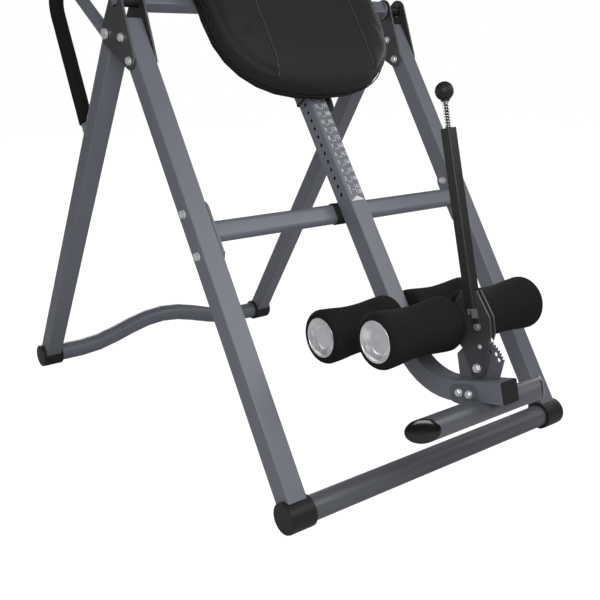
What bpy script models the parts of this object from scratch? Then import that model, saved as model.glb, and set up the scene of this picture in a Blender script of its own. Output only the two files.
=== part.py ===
"""Inversion table at real size, in metres with +Z up.

A folding A-frame carries a padded bed on two pivot pins. A J-shaped boom slides in the bed's sleeve to suit
the user's height, and ends in a foot rest and a ratchet ankle clamp. The feet rest on z = 0, the foot rest
points towards -Y, and the origin lies under the middle of the whole table. Left is -X.
"""

from math import asin, atan2, copysign, cos, hypot, pi, radians, sin, tan

import bmesh
import bpy
from mathutils import Matrix, Vector

# General
CLEAR = 0.0003  # gap between pieces that touch
OVERLAP = 0.0006  # how far welded shapes run into each other
SHARP = radians(35)  # edges sharper than this stay crisp
ROUND_STEPS = 20  # sides of the round tubes and of what fits over them
PIN_STEPS = 16  # sides of pins, bolts and their holes
SIDES = (("left", -1), ("right", 1))

# A-frame
TUBE = 0.040  # square tube of the legs and the boom
TUBE_WALL = 0.0016
TUBE_CORNER = 0.003
LEG_X = 0.3365  # leg centre lines from the middle plane
BASE_SPREAD = 1.0781  # between the axes of the front and rear base tubes
FRONT_LEAN = radians(31.45)
REAR_LEAN = radians(34.07)
BASE_RADIUS = 0.0225
BASE_WALL = 0.0018
ARCH_RISE = 0.0485  # of the rear base tube over the floor line of its ends
ARCH_HALF = 0.250
ARCH_STEPS = 10
FRONT_LEG_DROP = 0.035  # front legs end this far below the crossing of the legs' centre lines
HINGE_DROP = 0.055  # hinge bolt, down the rear leg from the same crossing
REAR_LEG_OVER = 0.020  # rear leg beyond its hinge bolt

# Foot caps
CAP_RADIUS = 0.0285
CAP_OVERHANG = 0.008  # end face beyond the leg's outer face
CAP_LIP = 0.0045  # inner edge beyond the leg's inner face
CAP_END_WALL = 0.003
CAP_EDGE = 0.003
FOOT_FLAT = 0.0008  # depth of the flat that each cap rests on
NOTCH_TALL = 0.060

# Crossbar and bumper
CROSSBAR_UP = 0.515  # along the front leg from the base tube's axis
BAR_DEPTH = 0.022
BAR_HEIGHT = 0.040
BAR_CORNER = 0.010
BAR_WALL = 0.0016
END_PLATE = 0.0045
END_PLATE_LONG = 0.120
END_PLATE_WIDE = 0.038
END_PLATE_BORE = 0.008
BUMPER = 0.0024
BUMPER_HALF = 0.044
REST_GAP = 0.0008  # boom over the bumper, which leans a little less than the boom

# Hinge plates, hinge bolts and bed pivot
HINGE_PLATE = 0.004
PIVOT_RISE = 0.0006  # bed pivot beyond the crossing, along the front leg
PIVOT_FORWARD = 0.0203  # bed pivot in front of the front leg's centre line
PIVOT_BOSS = 0.024
HINGE_BOSS = 0.022
PLATE_FOOT_RADIUS = 0.020
PLATE_FOOT_DROP = 0.110  # centre of the plate's lower end, below the crossing
HINGE_BOLT = 0.006
BOLT_HEAD = 0.0105
BOLT_HEAD_TALL = 0.006
PIVOT_PIN = 0.008
PIN_STANDOUT = 0.0045
BUSH_WALL = 0.0032
BUSH_FLANGE = 0.0025
BUSH_FLANGE_RADIUS = 0.016

# Handlebars
HANDLE_RADIUS = 0.0125
HANDLE_STEPS = 10
HANDLE_LOW = 0.2581  # lower end, down the rear leg from the hinge bolt
HANDLE_STUB = 0.004
HANDLE_LOW_BEND = 0.025
HANDLE_LOW_TURN = radians(31.3)
HANDLE_BARE = 0.0143  # from the lower bend to the grip
HANDLE_RUN = 0.2497  # straight stretch of the grip
HANDLE_TOP_BEND = 0.050
GRIP_RADIUS = 0.0155

# Bed
SLEEVE = 0.047
SLEEVE_WALL = 0.0028
SLEEVE_CORNER = 0.006
SLEEVE_DROP = 0.2243  # lower end below the pivot
SLEEVE_RISE = 0.160
COLLAR = 0.050
COLLAR_TALL = 0.006
RAIL_DEPTH = 0.005
RAIL_TALL = 0.030
RAIL_HALF = 0.160
RAIL_CORNER = 0.001
RAIL_LEVELS = (("lower", -0.140), ("upper", 0.130))
ARM_SIDE = 0.030
ARM_WALL = 0.002
ARM_CORNER = 0.004
ARM_FLANGE = 0.004
ARM_FLANGE_RADIUS = 0.0205

# Backrest
SEAT_HALF = 0.219  # half width at the hips
SEAT_LEVEL = -0.065  # where the lower end starts to round, from the pivot
SEAT_DEPTH = 0.1805
HEAD_HALF = 0.195
HEAD_LEVEL = 0.455
HEAD_DEPTH = 0.150
END_POWER = 2.5  # superellipse of both ends
END_POINTS = 15
SIDE_POINTS = 4
BOARD = 0.010
BOARD_INSET = 0.003
CUSHION_EDGE = 0.028  # thickness at the front seam
CUSHION_CROWN = 0.046  # thickness along the middle
CUSHION_TUCK = 0.012  # how far the back edge draws in, as a share of the half width
CHANNEL = 0.0035  # depth of the sewn channel
CHANNEL_SHARE = 0.60  # place of the channel between the middle and the edge
CHANNEL_HALF = 0.035

# Height selector and clamp lever
PIN_DROP = 0.1989  # selector pin below the pivot
PIN_RADIUS = 0.0033
PIN_REACH = 0.0035  # pin inside the boom's outer face
PIN_BEVEL = 0.0008
HOUSING_RADIUS = 0.011
HOUSING_LONG = 0.012
KNOB_RADIUS = 0.014
KNOB_LONG = 0.0175
KNOB_ROUND = 0.004
STUD_RADIUS = 0.004
STUD_BOSS = 0.009
STUD_BOSS_LONG = 0.008
CLAMP_THICK = 0.012
CLAMP_HUB = 0.009
CLAMP_TIP = 0.006
CLAMP_LONG = 0.050

# Boom
BOOM_RISE = 0.030  # upper end above the pivot
BEND_DROP = 0.7561  # start of the bend below the pivot
BEND_RADIUS = 0.1315
BEND = radians(70.3)
BEND_STEPS = 9
FOOT_RUN = 0.1106  # from the end of the bend to the end face
HOLE_PITCH = 0.01862
HOLE_RADIUS = 0.004
HOLE_STEPS = 8
HOLES_BELOW_PIN = 13
HOLES_ABOVE_PIN = 6
PLUG_FLANGE = 0.003
PLUG_DEPTH = 0.014

# Foot rest, measured from the boom's end face and centre line
FOOTREST_BACK = 0.0622
FOOTREST_DROP = 0.0327
FOOTREST_RADIUS = 0.0212
FOOTREST_WALL = 0.002
FOOTREST_HALF = 0.176  # to the longer, rear side of its mitred ends
FOOTREST_MITRE = radians(45)
FOOT_PLUG_INSERT = 0.010
FOOT_PLUG_FLANGE = 0.0016
FOOT_PLUG_DOME = 0.0042
DOME_STEPS = 5
SADDLE = 0.003
SADDLE_FRONT = 0.0042
SADDLE_HEEL = 0.0140
SADDLE_REAR = 0.0558
SADDLE_TOP = 0.0447
SADDLE_REAR_LOW = 0.0136
SADDLE_FOOT = 0.004
SADDLE_ROUND = 0.012

# Ankle clamp. Offsets are from the clamp's pivot bolt, (towards the rear, up), with the lever closed
ANKLE_BACK = 0.0610
ANKLE_RISE = 0.0403
ANKLE_TURN = radians(13.5)  # the clamp stands upright while the foot of the boom rises
ANKLE_BOLT = 0.005
ANKLE_HEAD = 0.008
ANKLE_HEAD_TALL = 0.005
RATCHET = 0.004
RATCHET_REAR = 0.0486
RATCHET_FRONT = 0.0398
RATCHET_SHOULDER = (0.0516, 0.0131)
RATCHET_NOSE = (-0.0523, 0.0285)
TOOTH_ROOT = 0.0545
TOOTH_TIP = 0.0585
TOOTH_PITCH = radians(6)
GAP_FLOOR = radians(0.5)  # half width of the gap's floor
GAP_STEEP = radians(1.5)  # lean of the holding flank over the tooth's depth
GAP_SLOPE = radians(2.6)  # lean of the flank that the pawl climbs
PAWL_AT = radians(114)
GAPS_BEFORE = 2
GAPS_AFTER = 6
RIM_START = radians(76)
RIM_STEPS = 4
RATCHET_HOLE = 0.0042
RATCHET_HOLE_AT = ((0.0480, radians(135.7)), (0.0480, radians(149.0)))
STOP_AT = (-0.0035, 0.0406)
STOP_PIN = 0.003
STOP_BACK = radians(6)  # travel of the stop pin in its slot
STOP_FORWARD = radians(30)
SLOT_STEPS = 5
ARM_PLATE = 0.003
ARM_GAP = 0.0074  # between the two arm plates
ARM_FOOT = 0.018
ARM_LOBE = 0.019
ARM_TOP = (0.0093, 0.1381)
ARM_TOP_REAR = (0.0475, 0.1300)
ARM_FRONT = (
    (-0.0215, 0.0967, 0.012),
    (-0.0264, 0.0675, 0.010),
    (-0.0229, 0.0522, 0.003),
    (-0.0224, 0.0212, 0.006),
)
ARM_WAIST = (0.0365, 0.0285, 0.010)
FRONT_AXLE = (0.0620, 0.0723)
PAWL_BOLT_AT = (0.0028, 0.0754)
PAWL_BOLT = 0.004
PAWL_HEAD = 0.007
PAWL_HEAD_TALL = 0.005
PAWL = 0.004
PAWL_BOSS = 0.008
PAWL_TAIL = 0.004
PAWL_GAP = 0.0005  # nose over the gap's floor
NOSE_HALF = radians(0.3)
NOSE_TALL = 0.005

# Lever and release knob
LEVER_FOOT = (0.0279, 0.1025)
LEVER_LEAN = radians(11.6)
LEVER_SIDE = 0.0187
LEVER_WALL = 0.0023
LEVER_CORNER = 0.004
LEVER_LONG = 0.313
FORK = 0.032
LEVER_BUSH = 0.012
ROD_RADIUS = 0.003
ROD_END = 0.0060  # rod's lower end above the lever's foot
SPRING_LONG = 0.0455
SPRING_RADIUS = 0.0052
SPRING_WIRE = 0.0008
SPRING_TURNS = 9
SPRING_POINTS = 10
SPRING_SIDES = 6
BALL_RADIUS = 0.0162
BALL_STEPS = 7
BALL_NECK = 0.008
BALL_NECK_TALL = 0.003

# Rollers
AXLE_RADIUS = 0.010
REAR_AXLE_RISE = 0.0471  # above the start of the boom's bend
ROLLER_LONG = 0.172
ROLLER_RADIUS = 0.050
ROLLER_WAIST = 0.0055
ROLLER_EDGE = 0.011
ROLLER_EDGE_STEPS = 3
ROLLER_WAVE_STEPS = 5
ROLLER_STEPS = 18
FRONT_ROLLER_X = 0.0225
REAR_ROLLER_X = 0.0225
ROLLER_CAP_RADIUS = 0.037
ROLLER_CAP_SEAT = 0.010
ROLLER_CAP_DISH = 0.0075

# Places worked out from the sizes above
BASE_AXIS_Z = CAP_RADIUS - FOOT_FLAT
LEG_INNER = LEG_X - TUBE / 2
LEG_OUTER = LEG_X + TUBE / 2
CAP_END_X = LEG_OUTER + CAP_OVERHANG
PLATE_INNER = LEG_INNER - CLEAR - HINGE_PLATE
PLATE_OUTER = LEG_OUTER + CLEAR + HINGE_PLATE
CROSSING_ANGLE = FRONT_LEAN + REAR_LEAN
FRONT_CROSSING = BASE_SPREAD * cos(REAR_LEAN) / sin(CROSSING_ANGLE)
REAR_HINGE = BASE_SPREAD * cos(FRONT_LEAN) / sin(CROSSING_ANGLE) - HINGE_DROP
PIVOT_ON_LEG = (-PIVOT_FORWARD, FRONT_CROSSING + PIVOT_RISE)
HINGE_ON_LEG = (HINGE_DROP * sin(CROSSING_ANGLE), FRONT_CROSSING - HINGE_DROP * cos(CROSSING_ANGLE))
REST_OFFSET = TUBE / 2 + REST_GAP + BUMPER + BAR_DEPTH / 2
FOOT_TURN = pi / 2 - BEND
REAR_AXLE_DROP = BEND_DROP - REAR_AXLE_RISE
ARM_OUT = ARM_GAP / 2 + ARM_PLATE


def turned_by(point, angle):
    """A (y, z) point turned about the X axis."""
    y, z = point
    return (y * cos(angle) - z * sin(angle), y * sin(angle) + z * cos(angle))


def shifted(point, move):
    return (point[0] + move[0], point[1] + move[1])


def polar(radius, angle, centre=(0.0, 0.0)):
    return (centre[0] + radius * cos(angle), centre[1] + radius * sin(angle))


def drilled(radius, steps):
    """Corner radius of a polygonal hole whose flats clear a round of this radius."""
    return (radius + CLEAR) / cos(pi / steps)


# Places in the whole table, before the origin moves under its middle
def on_front_leg(point):
    return shifted(turned_by(point, -FRONT_LEAN), (0.0, BASE_AXIS_Z))


PIVOT = on_front_leg(PIVOT_ON_LEG)
HINGE = on_front_leg(HINGE_ON_LEG)
BAR = on_front_leg((0.0, CROSSBAR_UP))
BAR_TO_PIVOT = (PIVOT[0] - BAR[0], PIVOT[1] - BAR[1])
BOOM_LEAN = atan2(*BAR_TO_PIVOT) + asin(REST_OFFSET / hypot(*BAR_TO_PIVOT))


# Outlines and sections


def circle(radius, steps, centre=(0.0, 0.0)):
    return [polar(radius, 2 * pi * i / steps, centre) for i in range(steps)]


def arc(centre, radius, start, end, steps):
    return [polar(radius, start + (end - start) * i / steps, centre) for i in range(steps + 1)]


def rounded_box(width, depth, corner, steps=3):
    outline = []
    for quarter, (side, face) in enumerate(((1, 1), (-1, 1), (-1, -1), (1, -1))):
        centre = (side * (width / 2 - corner), face * (depth / 2 - corner))
        outline += arc(centre, corner, quarter * pi / 2, (quarter + 1) * pi / 2, steps)
    return outline


def rounded(corners, steps=3):
    """Outline through (y, z, radius) corners; a radius of zero keeps the corner sharp."""
    outline = []
    for i, (y, z, radius) in enumerate(corners):
        if radius == 0:
            outline.append((y, z))
            continue
        here = Vector((y, z))
        before = (Vector(corners[i - 1][:2]) - here).normalized()
        after = (Vector(corners[(i + 1) % len(corners)][:2]) - here).normalized()
        half = before.angle(after) / 2
        centre = here + (before + after).normalized() * radius / sin(half)
        start = here + before * radius / tan(half) - centre
        sweep = copysign(pi - 2 * half, before.cross(after)) * -1
        outline += [tuple(centre + Vector(turned_by(start, sweep * k / steps))) for k in range(steps + 1)]
    return outline


def hull_of_circles(circles, steps=18):
    """Outline of a belt drawn tight round (y, z, radius) circles."""
    points = sorted({p for y, z, radius in circles for p in circle(radius, steps, (y, z))})

    def chain(ordered):
        hull = []
        for p in ordered:
            while len(hull) > 1 and turn(hull[-2], hull[-1], p) <= 0:
                hull.pop()
            hull.append(p)
        return hull[:-1]

    def turn(a, b, c):
        return (b[0] - a[0]) * (c[1] - a[1]) - (b[1] - a[1]) * (c[0] - a[0])

    return chain(points) + chain(points[::-1])


def bent_path(start, heading, moves):
    """Stations (y, z, heading) along (length, turn, steps) moves. Heading 0 is +Y, and turns go towards +Z."""
    y, z = start
    stations = [(y, z, heading)]
    for length, turn, steps in moves:
        step_turn = turn / steps
        chord = length / steps if turn == 0 else length / turn * 2 * sin(step_turn / 2)
        for _ in range(steps):
            y, z = polar(chord, heading + step_turn / 2, (y, z))
            heading += step_turn
            stations.append((y, z, heading))
    return stations


# Meshes


def frame_at(origin, across, along):
    """Matrix that lays a section's two axes square to a path, the first one across."""
    across = Vector(across).normalized()
    along = Vector(along).normalized()
    return Matrix.Translation(origin) @ Matrix((across, along.cross(across), along)).transposed().to_4x4()


def path_frames(stations, x=0.0):
    return [frame_at((x, y, z), (1, 0, 0), (0, cos(h), sin(h))) for y, z, h in stations]


def along_x(*places, y=0.0, z=0.0):
    return [frame_at((x, y, z), (0, 1, 0), (1, 0, 0)) for x in places]


def along_y(*places):
    return [frame_at((0, y, 0), (1, 0, 0), (0, 1, 0)) for y in places]


def along_z(*places):
    return [frame_at((0, 0, z), (1, 0, 0), (0, 0, 1)) for z in places]


def skin(bm, frames, sections):
    """Faces between sections that stand on frames; returns the first and the last ring of vertices."""
    rings = []
    for frame, section in zip(frames, sections):
        rings.append([bm.verts.new(frame @ Vector((a, b, 0))) for a, b in section])
    for low, high in zip(rings, rings[1:]):
        for i in range(len(low)):
            bm.faces.new((low[i - 1], low[i], high[i], high[i - 1]))
    return rings[0], rings[-1]


def bar(frames, *sections, bm=None):
    """Closed solid; one section is swept, and several are lofted, one on each frame."""
    bm = bm or bmesh.new()
    ends = skin(bm, frames, sections if len(sections) > 1 else sections * len(frames))
    for ring in ends:
        bm.faces.new(ring)
    return bm


def tube(frames, outer, inner):
    """Hollow sweep with open ends."""
    bm = bmesh.new()
    outer_ends = skin(bm, frames, [outer] * len(frames))
    inner_ends = skin(bm, frames, [inner] * len(frames))
    for wide, narrow in zip(outer_ends, inner_ends):
        for i in range(len(wide)):
            bm.faces.new((wide[i - 1], wide[i], narrow[i], narrow[i - 1]))
    return bm


def square_tube(frames, side, wall, corner, depth=None):
    depth = depth or side
    inner_corner = max(corner - wall, wall / 4)
    inner = rounded_box(side - 2 * wall, depth - 2 * wall, inner_corner)
    return tube(frames, rounded_box(side, depth, corner), inner)


def turned(profile, steps, ring=False):
    """Solid of revolution about X from (x, radius) points; a ring's profile closes on itself."""
    bm = bmesh.new()
    rings = []
    for x, radius in profile:
        around = circle(radius, steps) if radius else [(0.0, 0.0)]
        rings.append([bm.verts.new((x, y, z)) for y, z in around])
    pairs = list(zip(rings, rings[1:]))
    if ring:
        pairs.append((rings[-1], rings[0]))
    for low, high in pairs:
        for i in range(steps):
            j = (i + 1) % steps
            corners = [low[i % len(low)], low[j % len(low)], high[j % len(high)], high[i % len(high)]]
            bm.faces.new(list(dict.fromkeys(corners)))
    return bm


def plate(outline, holes, thickness, flat="YZ"):
    """Flat plate with through holes, centred on its own thickness. It lies in the YZ or the XZ plane."""
    bm = bmesh.new()
    edges = []
    for loop in [outline, *holes]:
        if flat == "YZ":
            verts = [bm.verts.new((-thickness / 2, a, b)) for a, b in loop]
        else:
            verts = [bm.verts.new((a, -thickness / 2, b)) for a, b in loop]
        edges += [bm.edges.new((verts[i - 1], verts[i])) for i in range(len(verts))]
    bmesh.ops.triangle_fill(bm, use_beauty=True, edges=edges)
    grown = bmesh.ops.extrude_face_region(bm, geom=bm.faces[:])
    moved = [item for item in grown["geom"] if isinstance(item, bmesh.types.BMVert)]
    lift = (thickness, 0, 0) if flat == "YZ" else (0, thickness, 0)
    bmesh.ops.translate(bm, verts=moved, vec=lift)
    return bm


# Objects


def finish(name, colour, metallic, roughness):
    material = bpy.data.materials.new(name)
    material.use_nodes = True
    shader = material.node_tree.nodes["Principled BSDF"]
    shader.inputs["Base Color"].default_value = (*colour, 1)
    shader.inputs["Metallic"].default_value = metallic
    shader.inputs["Roughness"].default_value = roughness
    material.diffuse_color = (*colour, 1)
    return material


def pivot_point(name, parent, location=(0, 0, 0), turn=0.0):
    """Empty that carries the pieces of one moving part, on its joint."""
    empty = bpy.data.objects.new(name, None)
    empty.parent = parent
    empty.location = location
    empty.rotation_euler.x = turn
    empty.empty_display_size = 0.05
    bpy.context.collection.objects.link(empty)
    return empty


def piece(name, bm, material, parent, location=(0, 0, 0), turn=0.0):
    bmesh.ops.recalc_face_normals(bm, faces=bm.faces)
    mesh = bpy.data.meshes.new(name)
    bm.to_mesh(mesh)
    bm.free()
    mesh.shade_smooth()
    mesh.set_sharp_from_angle(angle=SHARP)
    if material:
        mesh.materials.append(material)
    obj = bpy.data.objects.new(name, mesh)
    obj.parent = parent
    obj.location = location
    obj.rotation_euler.x = turn
    bpy.context.collection.objects.link(obj)
    return obj


def shaping(target, tool, operation):
    """Cut a hidden shape out of a piece, or weld it on."""
    tool.hide_render = True
    tool.display_type = "WIRE"
    modifier = target.modifiers.new(tool.name, "BOOLEAN")
    modifier.operation = operation
    modifier.solver = "EXACT"
    modifier.object = tool


def cut(target, tool):
    shaping(target, tool, "DIFFERENCE")


def weld(target, tool):
    shaping(target, tool, "UNION")


for old in list(bpy.data.objects):
    bpy.data.objects.remove(old, do_unlink=True)

FRAME_PAINT = finish("frame_paint", (0.105, 0.110, 0.122), 0.35, 0.42)
BRACKET_PAINT = finish("bracket_paint", (0.060, 0.063, 0.070), 0.35, 0.48)
BLACK_PLASTIC = finish("black_plastic", (0.012, 0.012, 0.013), 0.0, 0.45)
BLACK_RUBBER = finish("black_rubber", (0.010, 0.010, 0.010), 0.0, 0.75)
FOAM = finish("roller_foam", (0.009, 0.009, 0.009), 0.0, 0.92)
UPHOLSTERY = finish("upholstery", (0.018, 0.018, 0.019), 0.0, 0.60)
PLYWOOD = finish("covered_board", (0.020, 0.020, 0.020), 0.0, 0.80)
ZINC = finish("zinc_steel", (0.60, 0.61, 0.63), 1.0, 0.30)
CHROME = finish("spring_chrome", (0.72, 0.73, 0.75), 1.0, 0.16)
LEVER_BLACK = finish("lever_black", (0.012, 0.012, 0.013), 0.1, 0.40)
CAP_SILVER = finish("cap_silver", (0.42, 0.43, 0.45), 0.6, 0.35)


# Moving parts: each empty stands on its joint
foot_end = bent_path((0.0, -BEND_DROP), -pi / 2, [(BEND_RADIUS * BEND, -BEND, BEND_STEPS), (FOOT_RUN, 0, 1)])[-1][:2]
foot_end_y = PIVOT[0] + turned_by(foot_end, -BOOM_LEAN)[0]
front_reach = foot_end_y - TUBE / 2 * sin(BOOM_LEAN - FOOT_TURN)
rear_reach = BASE_SPREAD + CAP_RADIUS

table = pivot_point("table", None, (0, -(front_reach + rear_reach) / 2, 0))
front_base = pivot_point("front_base", table, (0, 0, BASE_AXIS_Z))
front_legs = pivot_point("front_legs", front_base, turn=-FRONT_LEAN)
rear_frame = pivot_point("rear_frame", table, (0, *HINGE), REAR_LEAN)
rear_base = pivot_point("rear_base", rear_frame, (0, 0, -REAR_HINGE), -REAR_LEAN)
bed = pivot_point("bed", table, (0, *PIVOT), -BOOM_LEAN)
boom = pivot_point("boom", bed)
boom_foot = pivot_point("boom_foot", boom, (0, *foot_end), FOOT_TURN)
ankle = pivot_point("ankle", boom_foot, (0, ANKLE_BACK, ANKLE_RISE), ANKLE_TURN)
lever = pivot_point("lever", ankle, (0, *LEVER_FOOT), -LEVER_LEAN)
pawl_pivot = pivot_point("pawl_pivot", ankle, (0, *PAWL_BOLT_AT))


# Base tubes, legs and foot caps


def base_tube(name, parent, rise):
    half = CAP_END_X - CAP_END_WALL - CLEAR
    frames = []
    for i in range(ARCH_STEPS + 1 if rise else 0):
        x = ARCH_HALF * (2 * i / ARCH_STEPS - 1)
        phase = pi * x / ARCH_HALF
        slope = -rise * pi / (2 * ARCH_HALF) * sin(phase)
        frames.append(frame_at((x, 0, rise * (1 + cos(phase)) / 2), (0, 1, 0), (1, 0, slope)))
    ends = along_x(-half, half)
    inner = circle(BASE_RADIUS - BASE_WALL, ROUND_STEPS)
    piece(name, tube([ends[0], *frames, ends[1]], circle(BASE_RADIUS, ROUND_STEPS), inner), FRAME_PAINT, parent)


def leg_pair(label, parent, base, low, high):
    """Two square legs, coped over their base tube, and the caps on the tube's ends."""
    radius = BASE_RADIUS + CLEAR
    reach = CAP_END_X + CAP_RADIUS
    cope = turned([(-reach, 0), (-reach, radius), (reach, radius), (reach, 0)], ROUND_STEPS)
    cope = piece(f"{label}_cope_cutter", cope, None, base)
    legs = []
    for side, sign in SIDES:
        leg = square_tube(along_z(low, high), TUBE, TUBE_WALL, TUBE_CORNER)
        leg = piece(f"{label}_leg_{side}", leg, FRAME_PAINT, parent, (sign * LEG_X, 0, 0))
        cut(leg, cope)
        legs.append(leg)
        cap = foot_cap(f"{label}_foot_cap_{side}", base, sign)
        room = rounded_box(TUBE + 2 * CLEAR, TUBE + 2 * CLEAR, TUBE_CORNER)
        notch = bar(along_z(low, low + NOTCH_TALL), room)
        cut(cap, piece(f"{cap.name}_notch_cutter", notch, None, parent, (sign * LEG_X, 0, 0)))
    return legs


def foot_cap(name, parent, sign):
    lip = LEG_INNER - CAP_LIP
    floor = CAP_END_X - CAP_END_WALL
    bore = BASE_RADIUS + CLEAR
    profile = [
        (CAP_END_X, 0),
        (CAP_END_X, CAP_RADIUS - CAP_EDGE),
        (CAP_END_X - CAP_EDGE * 0.3, CAP_RADIUS - CAP_EDGE * 0.3),
        (CAP_END_X - CAP_EDGE, CAP_RADIUS),
        (lip, CAP_RADIUS),
        (lip, bore),
        (floor, bore),
        (floor, 0),
    ]
    cap = piece(name, turned([(sign * x, r) for x, r in profile], ROUND_STEPS), BLACK_PLASTIC, parent)
    cut(cap, floor_cutter)
    return cap


floor_cutter = bar(along_z(-CAP_RADIUS, 0), rounded_box(4 * LEG_X, 4 * BASE_SPREAD, TUBE_CORNER))
floor_cutter = piece("floor_cutter", floor_cutter, None, table)

base_tube("front_base_tube", front_base, 0.0)
base_tube("rear_base_tube", rear_base, ARCH_RISE)
leg_pair("front", front_legs, front_base, 0.0, FRONT_CROSSING - FRONT_LEG_DROP)
rear_legs = leg_pair("rear", rear_frame, rear_base, -REAR_HINGE, REAR_LEG_OVER)


# Crossbar with its welded end plates, and the bumper that the boom rests on
bar_end = LEG_INNER - CLEAR - END_PLATE
bar_frames = along_x(-bar_end - OVERLAP, bar_end + OVERLAP)
crossbar = square_tube(bar_frames, BAR_DEPTH, BAR_WALL, BAR_CORNER, BAR_HEIGHT)
crossbar = piece("crossbar", crossbar, FRAME_PAINT, front_legs, (0, 0, CROSSBAR_UP))
end_round = END_PLATE_WIDE / 2
end_reach = END_PLATE_LONG / 2 - end_round
for side, sign in SIDES:
    outline = hull_of_circles([(0, -end_reach, end_round), (0, end_reach, end_round)], ROUND_STEPS)
    end_plate = plate(outline, [circle(END_PLATE_BORE, PIN_STEPS)], END_PLATE)
    place = (sign * (bar_end + END_PLATE / 2), 0, CROSSBAR_UP)
    weld(crossbar, piece(f"crossbar_plate_{side}", end_plate, None, front_legs, place))

bumper_outer = rounded_box(BAR_DEPTH + 2 * BUMPER, BAR_HEIGHT + 2 * BUMPER, BAR_CORNER + BUMPER)
bumper_inner = rounded_box(BAR_DEPTH + 2 * CLEAR, BAR_HEIGHT + 2 * CLEAR, BAR_CORNER + CLEAR)
bumper = tube(along_x(-BUMPER_HALF, BUMPER_HALF), bumper_outer, bumper_inner)
piece("crossbar_bumper", bumper, BLACK_RUBBER, front_legs, (0, 0, CROSSBAR_UP))


# Hinge plates on both faces of the front legs, with the bed's bushes and the rear legs' bolts
bush_outer = PIVOT_PIN + BUSH_WALL
hinge_outline = hull_of_circles(
    [
        (*PIVOT_ON_LEG, PIVOT_BOSS),
        (*HINGE_ON_LEG, HINGE_BOSS),
        (0.0, FRONT_CROSSING - PLATE_FOOT_DROP, PLATE_FOOT_RADIUS),
    ]
)
hinge_holes = [
    circle(drilled(bush_outer, PIN_STEPS), PIN_STEPS, PIVOT_ON_LEG),
    circle(drilled(HINGE_BOLT, PIN_STEPS), PIN_STEPS, HINGE_ON_LEG),
]
bolt_room = drilled(HINGE_BOLT, PIN_STEPS)
bolt_cutter = turned([(-LEG_X * 2, 0), (-LEG_X * 2, bolt_room), (LEG_X * 2, bolt_room), (LEG_X * 2, 0)], PIN_STEPS)
bolt_cutter = piece("hinge_bolt_cutter", bolt_cutter, None, rear_frame)
for rear_leg in rear_legs:
    cut(rear_leg, bolt_cutter)
for side, sign in SIDES:
    for face, x in (("outer", PLATE_OUTER - HINGE_PLATE / 2), ("inner", PLATE_INNER + HINGE_PLATE / 2)):
        hinge_plate = plate(hinge_outline, hinge_holes, HINGE_PLATE)
        piece(f"hinge_plate_{side}_{face}", hinge_plate, BRACKET_PAINT, front_legs, (sign * x, 0, 0))
    flange = PLATE_INNER - CLEAR - BUSH_FLANGE
    bush_bore = drilled(PIVOT_PIN, PIN_STEPS)
    bush = [
        (flange, bush_bore),
        (flange, BUSH_FLANGE_RADIUS),
        (flange + BUSH_FLANGE, BUSH_FLANGE_RADIUS),
        (flange + BUSH_FLANGE, bush_outer),
        (PLATE_OUTER, bush_outer),
        (PLATE_OUTER, bush_bore),
    ]
    bush = turned([(sign * x, r) for x, r in bush], PIN_STEPS, ring=True)
    piece(f"pivot_bush_{side}", bush, BLACK_PLASTIC, front_legs, (0, *PIVOT_ON_LEG))
    nut_face = PLATE_INNER - CLEAR
    head_face = PLATE_OUTER + CLEAR
    bolt = [
        (nut_face - BOLT_HEAD_TALL, 0),
        (nut_face - BOLT_HEAD_TALL, BOLT_HEAD),
        (nut_face, BOLT_HEAD),
        (nut_face, HINGE_BOLT),
        (head_face, HINGE_BOLT),
        (head_face, BOLT_HEAD),
        (head_face + BOLT_HEAD_TALL, BOLT_HEAD),
        (head_face + BOLT_HEAD_TALL, 0),
    ]
    bolt = turned([(sign * x, r) for x, r in bolt], PIN_STEPS)
    piece(f"hinge_bolt_{side}", bolt, ZINC, front_legs, (0, *HINGE_ON_LEG))


# Handlebars: a loop from the middle of each rear leg up to its top, with a foam grip on its run and upper bend
handle_face = TUBE / 2 + CLEAR
handle_foot = bent_path(
    (handle_face, -HANDLE_LOW),
    0.0,
    [(HANDLE_STUB, 0, 1), (HANDLE_LOW_BEND * HANDLE_LOW_TURN, HANDLE_LOW_TURN, 4), (HANDLE_BARE, 0, 1)],
)
top_turn = pi - HANDLE_LOW_TURN
grip_moves = [(HANDLE_RUN, 0, 1), (HANDLE_TOP_BEND * top_turn, top_turn, 8)]
grip_path = bent_path(handle_foot[-1][:2], HANDLE_LOW_TURN, grip_moves)
handle_back = bent_path(grip_path[-1][:2], pi, [(grip_path[-1][0] - handle_face, 0, 1)])
handle_path = [*handle_foot, *grip_path[1:], handle_back[-1]]
for side, sign in SIDES:
    handle = bar(path_frames(handle_path, sign * LEG_X), circle(HANDLE_RADIUS, HANDLE_STEPS))
    piece(f"handlebar_{side}", handle, FRAME_PAINT, rear_frame)
    grip_inner = circle(drilled(HANDLE_RADIUS, HANDLE_STEPS), HANDLE_STEPS)
    grip = tube(path_frames(grip_path, sign * LEG_X), circle(GRIP_RADIUS, HANDLE_STEPS), grip_inner)
    piece(f"handlebar_grip_{side}", grip, FOAM, rear_frame)


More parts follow.
